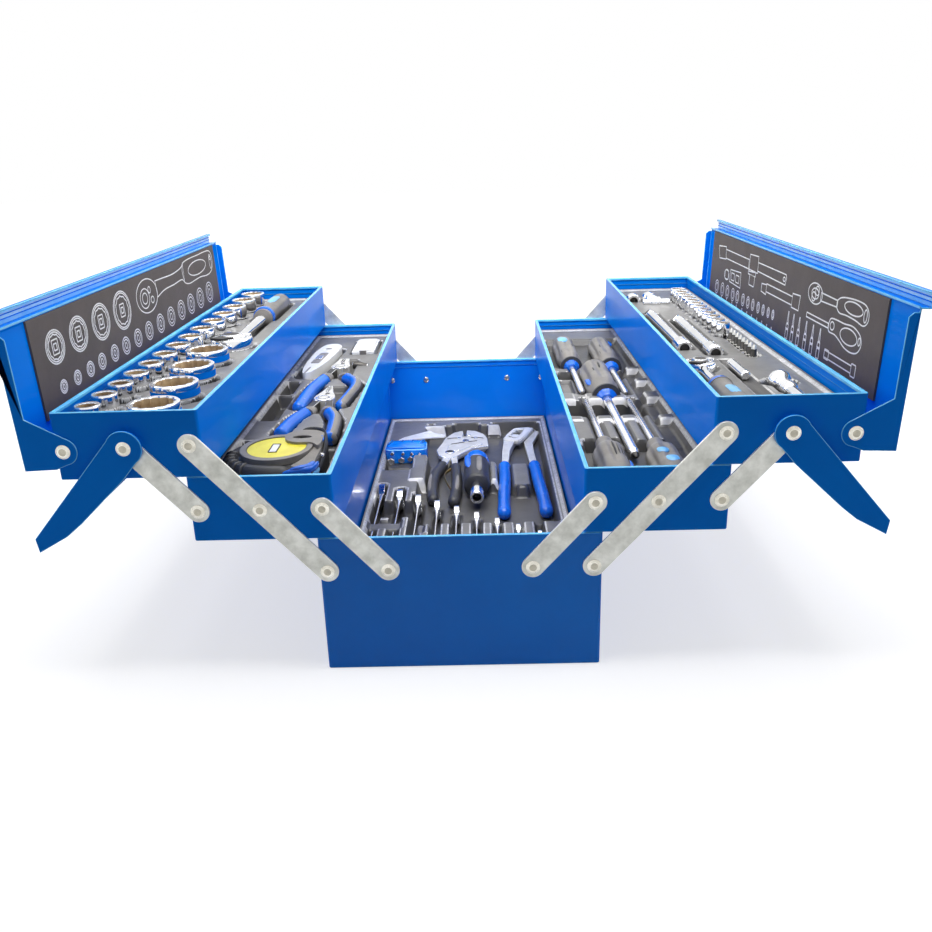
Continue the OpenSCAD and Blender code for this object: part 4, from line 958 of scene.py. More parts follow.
bm = bmesh.new()
plier_head(bm, -132.15, 100, 36, 5.4)
plier_head(bm, -130.15, -24, 44, 2.0)
turn(bm, (-120.5, 116, 137), (1, -0.2, 0),
     [(0, 0, 2), (0, 4, 2), (8, 4.6, 2), (12, 3, 2), (17, 2.2, 2), (17.4, 0, 2)], 16)
pliers = object_from(bm, "plier_heads", forged, chrome_rim, dark_steel, angle=30)
keep(soften(pliers, 0.5, 1), "plier_steel")

# %% Two-colour grips
GRIP_Z, GRIP_R = 135.3, 6.9


def two_tone(bm, path, outer):
    """A moulded grip; outer is -1, 0 or 1, the side across the box that takes the grey colour."""
    z, r, first = GRIP_Z, GRIP_R, len(bm.faces)
    dipped(bm, path, z, r, 1.08)
    bm.faces.ensure_lookup_table()
    middle = smooth_path([(x, y, z) for x, y in path])
    for face in bm.faces[first:]:
        centre = face.calc_center_median() / MM
        near = min(middle, key=lambda p: (p - centre).length)
        if outer and (centre.x - near.x) * outer > r * 0.12:
            face.material_index = 1
        if abs(centre.z - z) < r * 0.5 and outer and (centre.x - near.x) * outer > r * 0.7:
            face.material_index = 2


bm = bmesh.new()
two_tone(bm, [(-142, 67), (-148, 34), (-150.6, 5), (-151.2, -46)], 0)
two_tone(bm, [(-123, 67), (-110, 46), (-106.2, 22), (-109, -14), (-112.2, -44)], 1)
two_tone(bm, [(-139, -56), (-145, -74), (-149.5, -95), (-152.2, -122)], 0)
two_tone(bm, [(-121, -56), (-112, -80), (-109, -104), (-107.2, -136)], 1)
for x, y, way in ((-141, 66, -1), (-124, 67, 1), (-138, -56, -1), (-122, -56, 1)):
    turn(bm, (x, y - 1, GRIP_Z), (way * -0.25, 1, 0),
         [(-6, 0, 3), (-6, 6.4, 3), (-3, 7, 3), (0, 6.6, 3), (7, 4.6, 3), (7.2, 0, 3)], 24)
keep(object_from(bm, "plier_grip_mouldings", grip_blue, grip_grey, grip_black, grip_grey, angle=60),
     "plier_grips")
print("pliers made")

# %% [markdown]
# ## Utility knife and spare blades
# The knife is a die-cast body in two halves, plated, with a slide on top and a screw in the middle. The
# spare blades come in a white clam case with a thumb notch.

# %% Utility knife
p, q = Vector((-162.15, 73)), Vector((-153.15, 187))
run = (q - p).normalized()
left = Vector((-run.y, run.x))


def on_knife(u, v, w):
    spot = p + run * u + left * v
    return (spot.x, spot.y, w)


bm = bmesh.new()
handle = [(-12.5, -1.4), (-9, -4.6), (8, -8.4), (40, -11.6), (84, -12.8), (114, -11.8), (125, -5.5),
          (127, 1), (122, 8), (108, 11.8), (78, 12.6), (38, 10.4), (8, 7), (-9, 3.4), (-12.5, 1.2)]
plate(bm, [fillet(handle, 6)], 130.6, 143.4, on_knife)
plate(bm, [box_of(30, 78, -4.6, 4.6, 2.5)], 143.2, 143.9, on_knife, 1)
plate(bm, [box_of(44, 60, -3.6, 3.6, 1.5)], 143.8, 145.2, on_knife, 2)
for k in range(5):
    plate(bm, [box_of(46 + 3 * k, 47 + 3 * k, -3, 3)], 145.1, 145.25, on_knife, 1)
plate(bm, [box_of(-11.5, 12, -0.9, 0.9, 0.5)], 143.3, 143.8, on_knife, 1)
spot = p + run * 98
turn(bm, (spot.x, spot.y, 143.2), (0, 0, 1), [(0, 0, 1), (0, 4, 1), (0.6, 3.8), (0.4, 1.5, 1), (0.4, 0, 1)],
     20)
knife = object_from(bm, "knife_body", white_plastic, grip_grey, chrome_rim, angle=30)
keep(soften(knife, 1.0, segments=3), "utility_knife")
print("knife faces:", len(knife.data.polygons))

# %% Spare blade case
bm = bmesh.new()
plate(bm, [box_of(-129, -103.3, 168.2, 235.8, 2.5)], 128.5, 139.6)
plate(bm, [box_of(-127, -105.3, 171, 233, 2)], 139.6, 141.1)
plate(bm, [box_of(-120, -112, 167.9, 170.2, 0.8)], 131, 141.2, finish_number=1)
case = object_from(bm, "blade_clam_case", white_plastic, grip_grey, angle=30)
keep(soften(case, 0.8), "blade_case")
print("blade case made")

# %% [markdown]
# ## Screwdrivers
# A screwdriver handle is moulded in two rubbers over a hard core: a swollen grip with finger slots, a black
# guard flange and a blue collar where the blade comes out. It is turned, the slots are grooves in the
# radius that fade at both ends, and a pale pad sits on top. The blade is bright plated bar with a ground tip.

# %% Five drivers: middle, handle end, handle start, tip, handle radius, blade radius
DRIVERS = [(-153.15, 183, 75, -30, 13, 3), (-113.15, 193, 85, -23, 13, 3),
           (-133.15, 65, -36, -199, 15.5, 4), (-152.15, -250, -171, -42, 13, 3),
           (-113.15, -250, -165, -38, 13, 3)]
DRIVER_Z = 136.3
# Pads and slots: degrees across, distance from the start, half width, half length, finish number
SLOTS_OF = [(-38, 34, 0.7, 9, 1), (-22, 58, 0.7, 8, 1), (26, 40, 0.7, 9, 1)]
PADS = [SLOTS_OF + [(48, 84, 3.4, 11, 2), (52, 82, 1.6, 7, 3)],
        SLOTS_OF[:1] + [(-8, 86, 5.6, 11, 3), (34, 60, 0.8, 10, 1)],
        SLOTS_OF + [(-62, 36, 3.2, 10, 2), (8, 74, 0.8, 9, 1)],
        [(-14, 44, 4.4, 5, 3), (-14, 44, 2.2, 2.6, 0), (2, 63, 4.8, 6, 3), (4, 63, 2.6, 3.4, 2)],
        [(8 + 13 * k, 42 + 2 * k, 0.55, 15, 1) for k in range(5)] + [(70, 60, 2.2, 9, 2)]]

# %% Handles, collars and blades
blades, handles, collars = bmesh.new(), bmesh.new(), bmesh.new()
for i, (x, end, start, tip, r, rod) in enumerate(DRIVERS):
    x, way = -x, 1 if end > start else -1
    long = abs(end - start)
    at_start, along_handle = (x, start, DRIVER_Z), (0, way, 0)
    ring, tint = (0.62, 0) if i < 3 else (0.45, 1)
    flange = ([(0, rod + 0.1, 1), (0, r * 0.66, 1), (0.5, r * 0.86, 1), (2.6, r * 0.88, 1), (4, r * 0.66),
               (9, r * 0.58), (14, r * 0.66), (22, r * 0.9)] if i < 3 else
              [(0, rod + 0.1), (0, r * 0.46), (0.8, r * 0.52), (6, r * 0.54), (12, r * 0.52), (17, r * 0.6),
               (24, r * 0.84)])
    turn(handles, at_start, along_handle, flange +
         [(30, r * 0.985), (40, r), (50, r * 0.96), (60, r * 0.94), (long - 28, r * 0.97), (long - 16, r),
          (long - 7, r * 0.94), (long - 2.5, r * 0.78), (long - 0.4, r * 0.5, 2),
          (long, 0, 2)], 60, fluted(6, 0.16, 24, long - 9, 5))
    turn(collars, at_start, (0, -way, 0),
         [(0, rod + 0.1, tint), (0, r * ring, tint), (1.5, r * ring, tint), (3, r * ring * 0.84, tint),
          (6.2, r * ring * 0.7, tint), (7, r * ring * 0.61, tint), (7, rod + 0.1, tint)], 36)
    turn(blades, (x, start, DRIVER_Z), (0, -way, 0),
         [(-18, 0), (-18, rod), (abs(start - tip) - 12, rod), (abs(start - tip) - 11, rod * 0.82),
          (abs(start - tip) - 5, rod * 0.78), (abs(start - tip) - 0.2, rod * (0.5 if i % 2 else 0.2), 2),
          (abs(start - tip), 0, 2)], 24)
    for across, far, wide, span, tone in PADS[i]:
        lean = math.radians(across)
        spot = Vector((x + r * 0.9 * math.sin(lean), start + way * far,
                       DRIVER_Z + r * 0.9 * math.cos(lean)))
        pad(handles, [spot - Vector((0, way * span, 0.5)), spot, spot + Vector((0, way * span, -0.5))],
            wide, 1.6, 0.35, tone, 16, 16)
keep(object_from(handles, "driver_handle_mouldings", grip_grey, grip_black, grip_blue, grip_sky, grip_blue,
                 angle=40), "screwdriver_handles")
keep(object_from(collars, "driver_collar_rings", grip_blue, grip_grey, angle=35), "screwdriver_collars")
keep(object_from(blades, "driver_blade_rods", chrome_rim, chrome, dark_steel, angle=35),
     "screwdriver_blades")
print("screwdrivers:", len(DRIVERS))

# %% [markdown]
# ## Sockets
# A socket is a turned steel cup: a square hole at one end, twelve points at the other, a waist between and
# chrome over all of it except deep in the bore. The outside is turned with its chamfers and waist; the
# mouth is turned too, with a ripple that gives the twelve points.

# %% A helper that makes one socket standing up
FOOT, RIM = 168.3, 198.2  # the floor of the top trays' recesses and the sockets' rims


def socket(bm, x, y, r, high, wall, waist, ringed):
    """A socket on the recess floor; ringed adds a coloured ring below the rim."""
    tall, ring, bore = high - FOOT, 3 if ringed else 0, r - wall
    turn(bm, (x, y, FOOT), (0, 0, 1),
         [(0, 0), (0, r * waist * 0.94), (0.6, r * waist), (tall * 0.5, r * waist),
          (tall * 0.56, r * 0.985), (tall * 0.66, r * 0.985), (tall * 0.67, r, ring),
          (tall * 0.84, r, ring), (tall - 1.6, r * 0.99), (tall - 0.5, r * 0.975, 1),
          (tall, r * 0.94, 1)], 48)
    turn(bm, (x, y, FOOT), (0, 0, 1),
         [(tall, r * 0.94, 1), (tall - 0.02, bore * 0.93, 1), (tall - 0.9, bore * 0.9, 1),
          (tall * 0.62, bore * 0.88, 2), (tall * 0.58, r * 0.42, 2), (tall * 0.5, r * 0.36, 4),
          (tall * 0.5, 0, 4)], 72,
         lambda turned, far: 1 + 0.11 * abs(math.sin(6 * turned)) * (far < tall - 0.01))


def socket_row(name, spots, wall, waist=0.9, high=RIM, ring=None):
    """spots are (x, y, radius)."""
    bm = bmesh.new()
    for x, y, r in spots:
        socket(bm, x, y, r, high, wall, waist, ring)
    finishes = chrome, chrome_rim, bore_bronze, ring or grip_blue, dark_steel
    keep(object_from(bm, name + "_socket_row", *finishes, angle=30), name + "_sockets")


# %% Fourteen small, four large and twelve drive sockets
SMALL, LARGE, DRIVE = 14, 4, 12
radii = [9 + 0.38 * i for i in range(SMALL)]
socket_row("small", [(-266.8 + r, -236 + 30 * i + 0.56 * i * (i - 1), r) for i, r in enumerate(radii)], 2.6)
socket_row("large", [(-212.15 - 3.5 * i, -233 + 57 * i, 18.5) for i in range(LARGE)], 3.4, 0.94,
           ring=enamel)
socket_row("drive", [(245.15, 198 - 18.1 * i, 8.4 - 0.2 * i) for i in range(DRIVE)], 1.9, 0.86, RIM - 1)
print("sockets:", SMALL + LARGE + DRIVE)

# %% [markdown]
# ## Ratchets
# A ratchet's head is a forged drum with a cover plate, a thumb lever and a quick-release button. Its neck is
# polished and tapers into a moulded grip with a blue ring. The drum is turned, the cover and lever are
# plates, and the neck and grip are turned along the handle.

# %% Heads and necks of both ratchets
def ratchet(bm, x, y, low, high, knob, r, neck, neck_z, far):
    """A head at x, y between low and high, its button to knob, its neck to far."""
    turn(bm, (x, y, low), (0, 0, 1), [(0, 0), (0, r * 0.9), (1, r * 0.98), (high - low - 2.5, r * 0.98),
                                      (high - low - 1, r * 0.94, 1), (high - low - 0.4, r * 0.86, 1),
                                      (high - low - 0.4, 0)], 56)
    turn(bm, (x, y, high - 0.4), (0, 0, 1),
         [(-0.2, r * 0.74), (0.3, r * 0.74, 1), (0.3, r * 0.68, 1), (-0.2, r * 0.66, 2),
          (-0.1, r * 0.55, 2), (0.6, r * 0.52), (knob - high + 0.2, r * 0.46, 1),
          (knob - high + 0.35, r * 0.36), (knob - high + 0.1, r * 0.2, 2), (knob - high + 0.1, 0, 2)], 40)
    lever = fillet([(x - r * 0.5, y - r * 0.3), (x - r * 0.9, y - r * 0.66), (x - r * 0.25, y - r * 0.9),
                    (x + r * 0.3, y - r * 0.5)], r * 0.12)
    plate(bm, [lever], high - 0.6, high + (knob - high) * 0.6, finish_number=2)
    lever = fillet([(x + r * 0.5, y + r * 0.1), (x + r * 0.92, y + r * 0.1), (x + r * 0.8, y + r * 0.5),
                    (x + r * 0.42, y + r * 0.46)], r * 0.12)
    plate(bm, [lever], high - 0.6, high + (knob - high) * 0.45, finish_number=1)
    way = 1 if far > y else -1
    long = abs(far - y)
    turn(bm, (x, y, neck_z), (0, way, 0),
         [(r * 0.5, 0), (r * 0.5, neck * 0.98), (r * 1.05, neck * 0.98), (r * 1.4, neck * 0.8),
          (long * 0.35, neck * 0.74), (long * 0.7, neck * 0.86), (long - 3, neck * 0.96),
          (long, neck * 0.97), (long, 0)], 32)


LARGE_X, SMALL_X = -218.15, 195.15
for name, sizes, bevel in (("large_ratchet", (LARGE_X, 5, 179.8, 194.8, 197.3, 20, 6.5, 186.8, 138), 0.3),
                           ("small_ratchet", (SMALL_X, -124, 180.3, 191.3, 193.3, 13, 4.5, 185.8, -183),
                            0.25)):
    bm = bmesh.new()
    ratchet(bm, *sizes)
    forging = object_from(bm, name + "_forging", chrome, chrome_rim, dark_steel, angle=32)
    keep(soften(forging, bevel, segments=1), name)


# %% Their grips
def ratchet_grip(bm, x, start, stop, z, r):
    way, long = (1 if stop > start else -1), abs(stop - start)

    def ribbed(turned, far):
        fade = max(0, min(1, (far - 20) / 6, (long - 12 - far) / 6))
        return 1 - 0.05 * (0.5 + 0.5 * math.cos(10 * turned)) ** 4 * fade

    turn(bm, (x, start, z), (0, way, 0),
         [(0, 0), (0, r * 0.7), (0.5, r * 0.84), (3, r * 0.85), (6, r * 0.85), (6.4, r * 0.97, 2),
          (11, r, 2), (11.5, r * 0.92), (18, r * 0.86), (long * 0.35, r * 0.88), (long * 0.6, r * 0.97),
          (long * 0.82, r), (long - 7, r * 0.94), (long - 4, r * 0.8, 2), (long - 1, r * 0.6, 2),
          (long, r * 0.4, 1), (long, 0, 1)], 48, ribbed)
    # The sky-blue pad along the top of the grip is a painted highlight.
    pad(bm, [(x, start + way * long * 0.42, z + r * 0.86), (x, start + way * long * 0.6, z + r * 0.92),
             (x, start + way * long * 0.78, z + r * 0.9)], r * 0.42, r * 0.1, 0.3, 3, 16, 16)


for name, sizes in (("large_ratchet", (LARGE_X, 134, 240, 186.8, 12)),
                    ("small_ratchet", (SMALL_X, -180, -250, 185.8, 9.5))):
    bm = bmesh.new()
    ratchet_grip(bm, *sizes)
    keep(object_from(bm, name + "_moulding", grip_grey, grip_black, grip_blue, grip_sky, angle=40),
         name + "_grip")
print("ratchets made")

# %% [markdown]
# ## Bits, bars, spinner and joint
# The drive accessories are turned bar: two extensions with knurled female ends and squared male ends, a
# sliding T-bar, a spinner handle and a universal joint made of two forks on a cross block. The bits stand in
# a row with their ground tips up.

# %% Eight bits
bm = bmesh.new()
for i in range(8):
    x, y = 250.15, -14 - 10 * i
    turn(bm, (x, y, FOOT), (0, 0, 1), [(0, 0), (0, 3.6), (0.6, 3.95), (15, 3.95), (16, 3.4, 1)], 6)
    turn(bm, (x, y, FOOT), (0, 0, 1),
         [(15.6, 3.4), (17.4, 2.6), (22, 2.5), (24.4, 1.9, 1), (26, 0.4, 1), (26, 0, 1)], 16,
         lambda turned, far: 1 - 0.4 * max(0, min(1, (far - 18) / 4)) * abs(math.sin(2 * turned)))
keep(object_from(bm, "bit_row", dark_steel, forged, angle=30), "driver_bits")

# %% Two extension bars
BAR_Z = 185.3  # the height of the bars' axes


def square_end(bm, x, y, z, way, half, long):
    """A drive square with a spring ball, pointing along the box."""
    turn(bm, (x, y, z), (0, way, 0),
         [(0, 0), (0, half * 1.3), (long - 1, half * 1.3), (long, half * 1.1, 1), (long, 0, 1)], 4)
    turn(bm, (x, y + way * long * 0.5, z + half * 0.8), (0, 0, 1),
         [(0, 0, 1), (0, 1.2, 1), (0.6, 0.9, 1), (0.8, 0, 1)], 12)


bm = bmesh.new()
for x, y0, y1 in ((198.15, -55, 107), (220.15, -77, 70)):
    long = y1 - y0
    turn(bm, (x, y0, BAR_Z), (0, 1, 0),
         [(2, 0, 2), (2, 3.4, 2), (0.2, 4.4, 2), (0, 6.2, 1), (0.7, 6.95, 1), (3, 6.95), (3.6, 6.4),
          (5, 6.4), (5.6, 6.95), (20.5, 6.95), (22, 5.6), (26, 4.9), (long - 12, 4.9), (long - 9, 4.95),
          (long - 1, 4.95, 1), (long, 4.2), (long, 0)], 36,
         lambda turned, far: 1 - (0.035 * (0.5 + 0.5 * math.cos(24 * turned)) if 7 < far < 19 else 0))
    square_end(bm, x, y1 - 0.4, BAR_Z, 1, 4.0, 9.2)
keep(object_from(bm, "extension_bar_pair", chrome, chrome_rim, dark_steel, angle=35), "extension_bars")

# %% Spinner
bm = bmesh.new()
turn(bm, (244.15, -172, BAR_Z), (0, -1, 0),
     [(-9, 0), (-8.8, 2), (-8.2, 3.8), (-6.6, 6.1), (-4.2, 7.95), (-1.4, 8.85), (1.4, 8.85), (4.2, 7.9),
      (6.2, 6.3), (7.4, 5.2), (9, 5.6), (10, 6, 1), (26, 6, 1), (28, 5.4), (29, 4.6), (66, 4.5),
      (72, 4.5, 1), (73.6, 3.6, 1), (74, 0, 1)], 40,
     lambda turned, far: 1 - (0.06 * (0.5 + 0.5 * math.cos(16 * turned)) if 31 < far < 70 else 0))
keep(object_from(bm, "spinner_turned", chrome, chrome_rim, angle=35), "bit_spinner")
print("spinner made")

# %% Sliding bar
SLIDE_X, SLIDE_Y = 224.15, -154
bm = bmesh.new()
turn(bm, (SLIDE_X, SLIDE_Y, BAR_Z), (0, 1, 0),
     [(0, 0, 1), (0, 2.8, 1), (1.2, 3.9, 1), (3, 3.95), (40, 3.95), (42.8, 3.9, 1), (44, 2.8, 1),
      (44, 0, 1)], 28)
for far in (6, 38):
    turn(bm, (SLIDE_X, SLIDE_Y + far, 188.6), (0, 0, 1),
         [(0, 0, 2), (0, 1.4, 2), (0.5, 1.1, 2), (0.5, 0, 2)], 10)
keep(object_from(bm, "sliding_bar_turned", chrome, chrome_rim, dark_steel, angle=35), "sliding_bar")
print("sliding bar made")

# %% Universal joint
JOINT_X = 214.15
bm = bmesh.new()
turn(bm, (JOINT_X, 182, BAR_Z), (0, 1, 0),
     [(7, 0, 2), (7, 4.4, 2), (0.4, 4.5, 2), (0, 5, 1), (0, 6.8, 1), (0.8, 7.4, 1), (9.5, 7.4), (11, 6.4),
      (11.4, 0)], 32)
turn(bm, (JOINT_X, 200, BAR_Z), (0, 1, 0),
     [(0, 0), (0, 6.4), (1.2, 7.4, 1), (11.2, 7.4), (11.9, 6.6, 1), (11.9, 0, 1)], 32)
for way, y0, y1 in ((-1, 191, 199.6), (1, 194.4, 203)):
    for side in (-1, 1):
        if way < 0:
            fork = [(JOINT_X + side * 6.9, y0), (JOINT_X + side * 3.9, y0), (JOINT_X + side * 3.9, y1),
                    (JOINT_X + side * 6.9, y1)][::side]
            plate(bm, [fillet(fork, 1.4)], 182, 188.6)
        else:
            plate(bm, [box_of(211, 217.3, y0, y1, 1.4)], BAR_Z + side * 5.2 - 1.4, BAR_Z + side * 5.2 + 1.4)
plate(bm, [box_of(210.8, 217.5, 193.8, 200.2)], 182, 188.6, finish_number=2)
joint = object_from(bm, "universal_joint_forks", chrome, chrome_rim, dark_steel, angle=35)
keep(soften(joint, 0.35), "universal_joint")
print("joint faces:", len(joint.data.polygons))

# %% A drive adaptor and a short crossbar that share the joint's corner
ADAPTOR_Z = 186.4
bm = bmesh.new()
turn(bm, (193.2, 184, ADAPTOR_Z), (0, 1, 0),
     [(7, 0, 2), (7, 4.2, 2), (0.4, 4.4, 2), (0, 5, 1), (0, 7, 1), (0.8, 7.7, 1), (12, 7.7), (13.5, 6),
      (17, 5.6), (17, 0)], 32)
square_end(bm, 193.2, 200.6, ADAPTOR_Z, 1, 4.4, 9)
turn(bm, (201, 172.5, ADAPTOR_Z), (1, 0, 0),
     [(0, 0, 1), (0, 3.4, 1), (0.8, 4.4, 1), (9, 4.4), (9.4, 6.6, 1), (19, 6.6, 1), (19.4, 4.4),
      (29.2, 4.4), (30, 3.4, 1), (30, 0, 1)], 28)
add_to(soften(object_from(bm, "drive_adaptor_pair", chrome, chrome_rim, dark_steel, angle=35), 0.3),
       "universal_joint")
print("adaptor and crossbar made")

# %% [markdown]
# ## Printed cards
# The foam card in each lid is printed with the outline of every tool of the tray below it, so that a missing
# one shows. The lines are white ink. They are thin ribbons that follow an outline at half the pen's width to
# each side and lie a tenth of a millimetre proud of the foam.

# %% A pen that draws on the open lid
PEN, ON_CARD = 1.15, 26.42  # the pen's width, and the height of the ink over the lid's pivot


def pen(bm, place, points):
    """A closed ribbon along points given as (along the box, out from the pivot)."""
    points = [Vector(p) for p in points]
    if (points[0] - points[-1]).length < 1e-6:
        points.pop()
    sides = []
    for back, here, on in zip(points[-1:] + points[:-1], points, points[1:] + points[:1]):
        into, away = (here - back), (on - here)
        into = into.normalized() if into.length > 1e-6 else away.normalized()
        away = away.normalized() if away.length > 1e-6 else into
        normal = Vector((-into.y - away.y, into.x + away.x))
        normal = normal.normalized() if normal.length > 1e-6 else Vector((-into.y, into.x))
        reach = PEN / 2 / max(0.4, normal.dot(Vector((-into.y, into.x))))
        sides.append([bm.verts.new(Vector(place(p.y, p.x, ON_CARD)) * MM)
                      for p in (here + normal * reach, here - normal * reach)])
    for a, b in zip(sides, sides[1:] + sides[:1]):
        bm.faces.new((a[0], b[0], b[1], a[1]))


def star_of(along, out, half_along, half_out):
    return oval(along, out, half_along, half_out, 48, 12, -0.07)


def card_box(a0, a1, o0, o1, round_by):
    return box_of(a0, a1, o0, o1, round_by, 3)


def squeeze(points, by=0.93):
    return [(a, o * by) for a, o in points]


# %% Left card: four large rings, a ratchet and fourteen small rings
drawn = []
for along, out, half_along, half_out in ((-190, 57, 15, 12.4), (-148, 58, 15.9, 13.5),
                                         (-103, 58.8, 17.6, 14.8), (-55, 59.6, 19.4, 16.4)):
    drawn += [oval(along, out, half_along, half_out), oval(along, out, half_along - 2, half_out - 1.6),
              star_of(along, out, half_along * 0.74, half_out * 0.76),
              card_box(along - 4.8, along + 4.8, out - 5.4, out + 5.4, 0.8),
              card_box(along - 2.4, along + 2.4, out - 2.4, out + 2.4, 0.5)]
drawn += [oval(9.7, 61.5, 28, 15.4, 40), oval(3, 60, 12, 9), oval(3, 60, 6.5, 5), oval(17, 66, 3, 3),
          oval(22, 56, 4, 3),
          smooth_path([(36, 71.5), (60, 71), (90, 70.5), (118, 73), (128, 77), (150, 78.5), (182, 78.6),
                       (205, 79), (226, 78), (234, 72), (233, 62), (224, 55), (206, 53), (182, 54.5),
                       (160, 54), (140, 53.5), (126, 56), (116, 61), (90, 60), (60, 59.5), (37, 56)], 4),
          smooth_path([(126, 76.5), (121, 69), (124, 57.5)], 4), oval(174, 66, 33, 7.4, 40),
          oval(226, 66, 4, 8), oval(226, 70, 2, 2)]
for i, along in enumerate((-190, -165, -140, -116, -88, -61, -31, -1, 32, 65, 99, 133, 168, 205)):
    r, out = 4.9 + 6.3 * i / 13, 27 + 6.6 * i / 13
    drawn += [oval(along, out, r * 1.15, r), star_of(along, out, r * 0.85, r * 0.74),
              oval(along, out, r * 0.3, r * 0.36, 10)]
bm = bmesh.new()
for outline in drawn:
    pen(bm, on_lid(1), outline)
add_to(object_from(bm, "left_card_print", card_ink), "left_lid_card")
print("left card lines:", len(drawn))

# %% Right card: bars, joint, ratchet, driver, rings and bits
drawn = [squeeze(o) for o in (
    [(218, 74), (189, 76), (185, 62), (212, 60)], [(188, 73), (99, 73), (99, 63), (186, 63)],
    [(97, 79), (69, 80), (67, 63), (96, 61)], [(68, 74), (-16, 74), (-18, 71), (-16, 64), (68, 65)],
    oval(176.5, 45, 9, 6), card_box(169, 183, 40, 50, 1.5), [(162, 53), (123, 55), (121, 38), (163, 39)],
    card_box(128, 140, 42, 50, 1), card_box(146, 158, 42, 50, 1), card_box(75, 92, 47, 58, 1.5),
    card_box(73, 98, 58, 63, 1),
    [(50, 55), (35, 56), (35, 46), (50, 47)], box_of(35, -39, 57, 49),
    [(-39, 60), (-58, 61), (-57, 47), (-39, 47)],
    oval(-12, 69, 3, 2), oval(-91, 69, 16, 9), oval(-91, 69, 8, 4.6),
    [(-104, 72), (-139, 71.5), (-139, 66), (-104, 65)],
    smooth_path([(-138, 71.5), (-145, 75), (-158, 77), (-176, 78), (-190, 77), (-197, 72), (-197, 65),
                 (-190, 61), (-176, 62.5), (-158, 63), (-145, 62.5),
                 (-138, 66)], 4), oval(-170, 70.5, 17, 5), oval(-192, 69, 2.6, 5),
    oval(-95, 72, 4, 4), oval(-88, 66, 4, 4),
    box_of(-78, -127, 50, 46),
    smooth_path([(-128, 51), (-131, 55), (-142, 56), (-158, 56), (-174, 57), (-188, 53), (-192, 46),
                 (-187, 39), (-176, 36.5), (-163, 37.5), (-152, 41), (-142, 43.5), (-131, 43.5), (-128, 46),
                 (-128, 51)], 4)[:-1],
    oval(-135, 49.5, 4, 3.4), oval(-168, 47.5, 16, 6.4), oval(-188, 48, 2, 3), box_of(-127, -181, 27, 21),
    card_box(-136, -127, 20, 28, 1), card_box(-189, -181, 19, 29, 1))]
for i, along in enumerate((212, 188, 167, 145, 127, 106, 88, 71, 53, 37, 21, 7)):
    half, out = 9 - 5 * i / 11, (25 + 5.5 * i / 11) * 0.93
    drawn += [oval(along, out, half * 0.8, 7.4 - 3 * i / 11),
              oval(along, out, half * 0.45, 4.4 - 1.6 * i / 11, 14),
              box_of(along - 0.8, along + 0.8, 12.6, 16.4)]
for i, along in enumerate((-35, -49, -64, -81, -97, -113)):
    drawn += [card_box(along - 3, along + 3, 15, 23, 0.5),
              [(along - 3, 24), (along + 3, 24), (along + 2.4, 28), (along - 2.4, 28)],
              [(along - 1.6, 29), (along + 1.6, 29), (along + 0.5, 39), (along - 0.5, 39)]]
bm = bmesh.new()
for outline in drawn:
    pen(bm, on_lid(-1), outline)
add_to(object_from(bm, "right_card_print", card_ink), "right_lid_card")
print("right card lines:", len(drawn))

# %% Give the remaining solids their finishes
by_slot = {"blue_paint": enamel, "zinc": zinc, "insert_black": insert_black, "card_grey": card_grey,
           "chrome": chrome, "forged_steel": forged, "grip_black": grip_black, "grip_blue": grip_blue,
           "hex_blue": hex_blue, "white_plastic": white_plastic, "tape_yellow": grip_black}
for name, solid in NODES.items():
    solid.data.materials.clear()
    solid.data.materials.append(by_slot[SLOTS[name]])
print("solids finished:", len(NODES))

# %% [markdown]
# ## Floor, light and camera
# A pale floor keeps the soft shadow. A broad lamp above and one at each side light the trays' insides, and
# little light comes from the front, so the end walls stay deeper blue. A plain white world shows behind the
# box and in polished metal.

# %% A helper that lights grey and shows white
def show_white(tree, colour_socket, plain, shown):
    """Mixes plain for lighting with shown for the camera and for mirror rays."""
    rays = add_node(tree, "ShaderNodeLightPath")
    seen = rays.outputs["Is Camera Ray"]
    for name in ("Is Glossy Ray", "Is Transmission Ray"):
        either = add_node(tree, "ShaderNodeMath", operation="MAXIMUM")
        tree.links.new(seen, either.inputs[0])
        tree.links.new(rays.outputs[name], either.inputs[1])
        seen = either.outputs["Value"]
    blend = add_node(tree, "ShaderNodeMix", data_type="RGBA")
    tree.links.new(seen, blend.inputs["Factor"])
    blend.inputs["A"].default_value = (*plain, 1)
    blend.inputs["B"].default_value = (*shown, 1)
    tree.links.new(blend.outputs["Result"], colour_socket)


# %% World
scene = bpy.context.scene
world = bpy.data.worlds.new("studio")
scene.world = world
world.use_nodes = True
background = world.node_tree.nodes["Background"]
show_white(world.node_tree, background.inputs["Color"], (0.19, 0.19, 0.19), (1, 1, 1))
print("world:", world.name)

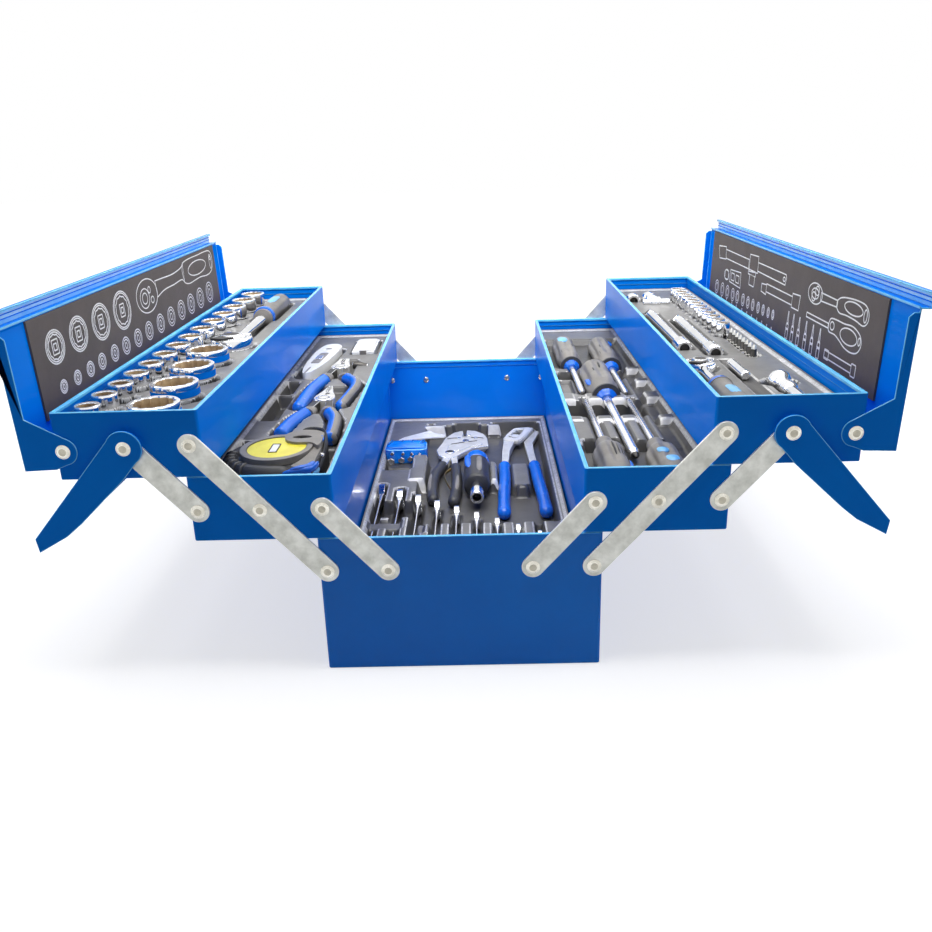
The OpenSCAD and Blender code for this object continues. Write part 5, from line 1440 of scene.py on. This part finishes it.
# %% Floor
bm = bmesh.new()
bmesh.ops.create_grid(bm, x_segments=1, y_segments=1, size=6)
floor_finish = bpy.data.materials.new("pale_floor")
floor_finish.use_nodes = True
tree = floor_finish.node_tree
floor_shader = tree.nodes["Principled BSDF"]
floor_shader.inputs["Base Color"].default_value = (0.5, 0.5, 0.5, 1)
floor_shader.inputs["Roughness"].default_value = 0.9
floor_shader.inputs["Specular IOR Level"].default_value = 0.0
show_white(tree, floor_shader.inputs["Emission Color"], (0, 0, 0), (1, 1, 1))
spot = add_node(tree, "ShaderNodeTexCoord").outputs["Object"]
distance = add_node(tree, "ShaderNodeVectorMath", operation="LENGTH")
tree.links.new(spot, distance.inputs[0])
far_glow = add_node(tree, "ShaderNodeMapRange", From_Min=0.5, From_Max=2.0, To_Min=0.62, To_Max=1.0)
tree.links.new(distance.outputs["Value"], far_glow.inputs["Value"])
tree.links.new(far_glow.outputs["Result"], floor_shader.inputs["Emission Strength"])
floor = object_from(bm, "floor", floor_finish)
floor.location.z = -0.0005
print("floor at", round(floor.location.z, 4))

# %% Lamps
def lamp(name, place, target, size, power):
    light = bpy.data.lights.new(name, "AREA")
    light.shape, light.size, light.size_y, light.energy = "RECTANGLE", size[0], size[1], power
    made = bpy.data.objects.new(name, light)
    made.location = place
    made.rotation_euler = (Vector(target) - Vector(place)).to_track_quat("-Z", "Y").to_euler()
    scene.collection.objects.link(made)
    return made


lamp("top_softbox", (0.0, 0.35, 1.6), (0, 0, 0.1), (1.8, 1.6), 14.5)
lamp("left_softbox", (-1.5, 0.1, 1.0), (0, 0, 0.15), (1.1, 1.1), 11.5)
lamp("right_softbox", (1.5, 0.1, 1.0), (0, 0, 0.15), (1.1, 1.1), 11.5)
inner = lamp("inner_softbox", (0.0, -0.25, 1.0), (0, 0.26, 0.06), (1.0, 0.35), 3)
inner.data.spread = math.radians(80)

# %% Camera
yaw, pitch, roll = (math.radians(v) for v in (1.08, 20.07, -1.72))
ahead = Vector((-math.sin(yaw) * math.cos(pitch), math.cos(yaw) * math.cos(pitch), -math.sin(pitch)))
sideways = Vector((math.cos(yaw), math.sin(yaw), 0))
above = sideways.cross(ahead)
right_way = sideways * math.cos(roll) + above * math.sin(roll)
up_way = above * math.cos(roll) - sideways * math.sin(roll)
camera_data = bpy.data.cameras.new("camera")
camera_data.sensor_width, camera_data.lens = 36, 34.66
camera = bpy.data.objects.new("camera", camera_data)
camera.matrix_world = Matrix.Translation(Vector((16.7, -836.5, 365.5)) * MM) @ Matrix(
    (right_way, up_way, -ahead)).transposed().to_4x4()
scene.collection.objects.link(camera)
scene.camera = camera
scene.view_settings.view_transform = "Standard"
print("camera at", [round(v, 3) for v in camera.location], "lens", camera_data.lens)
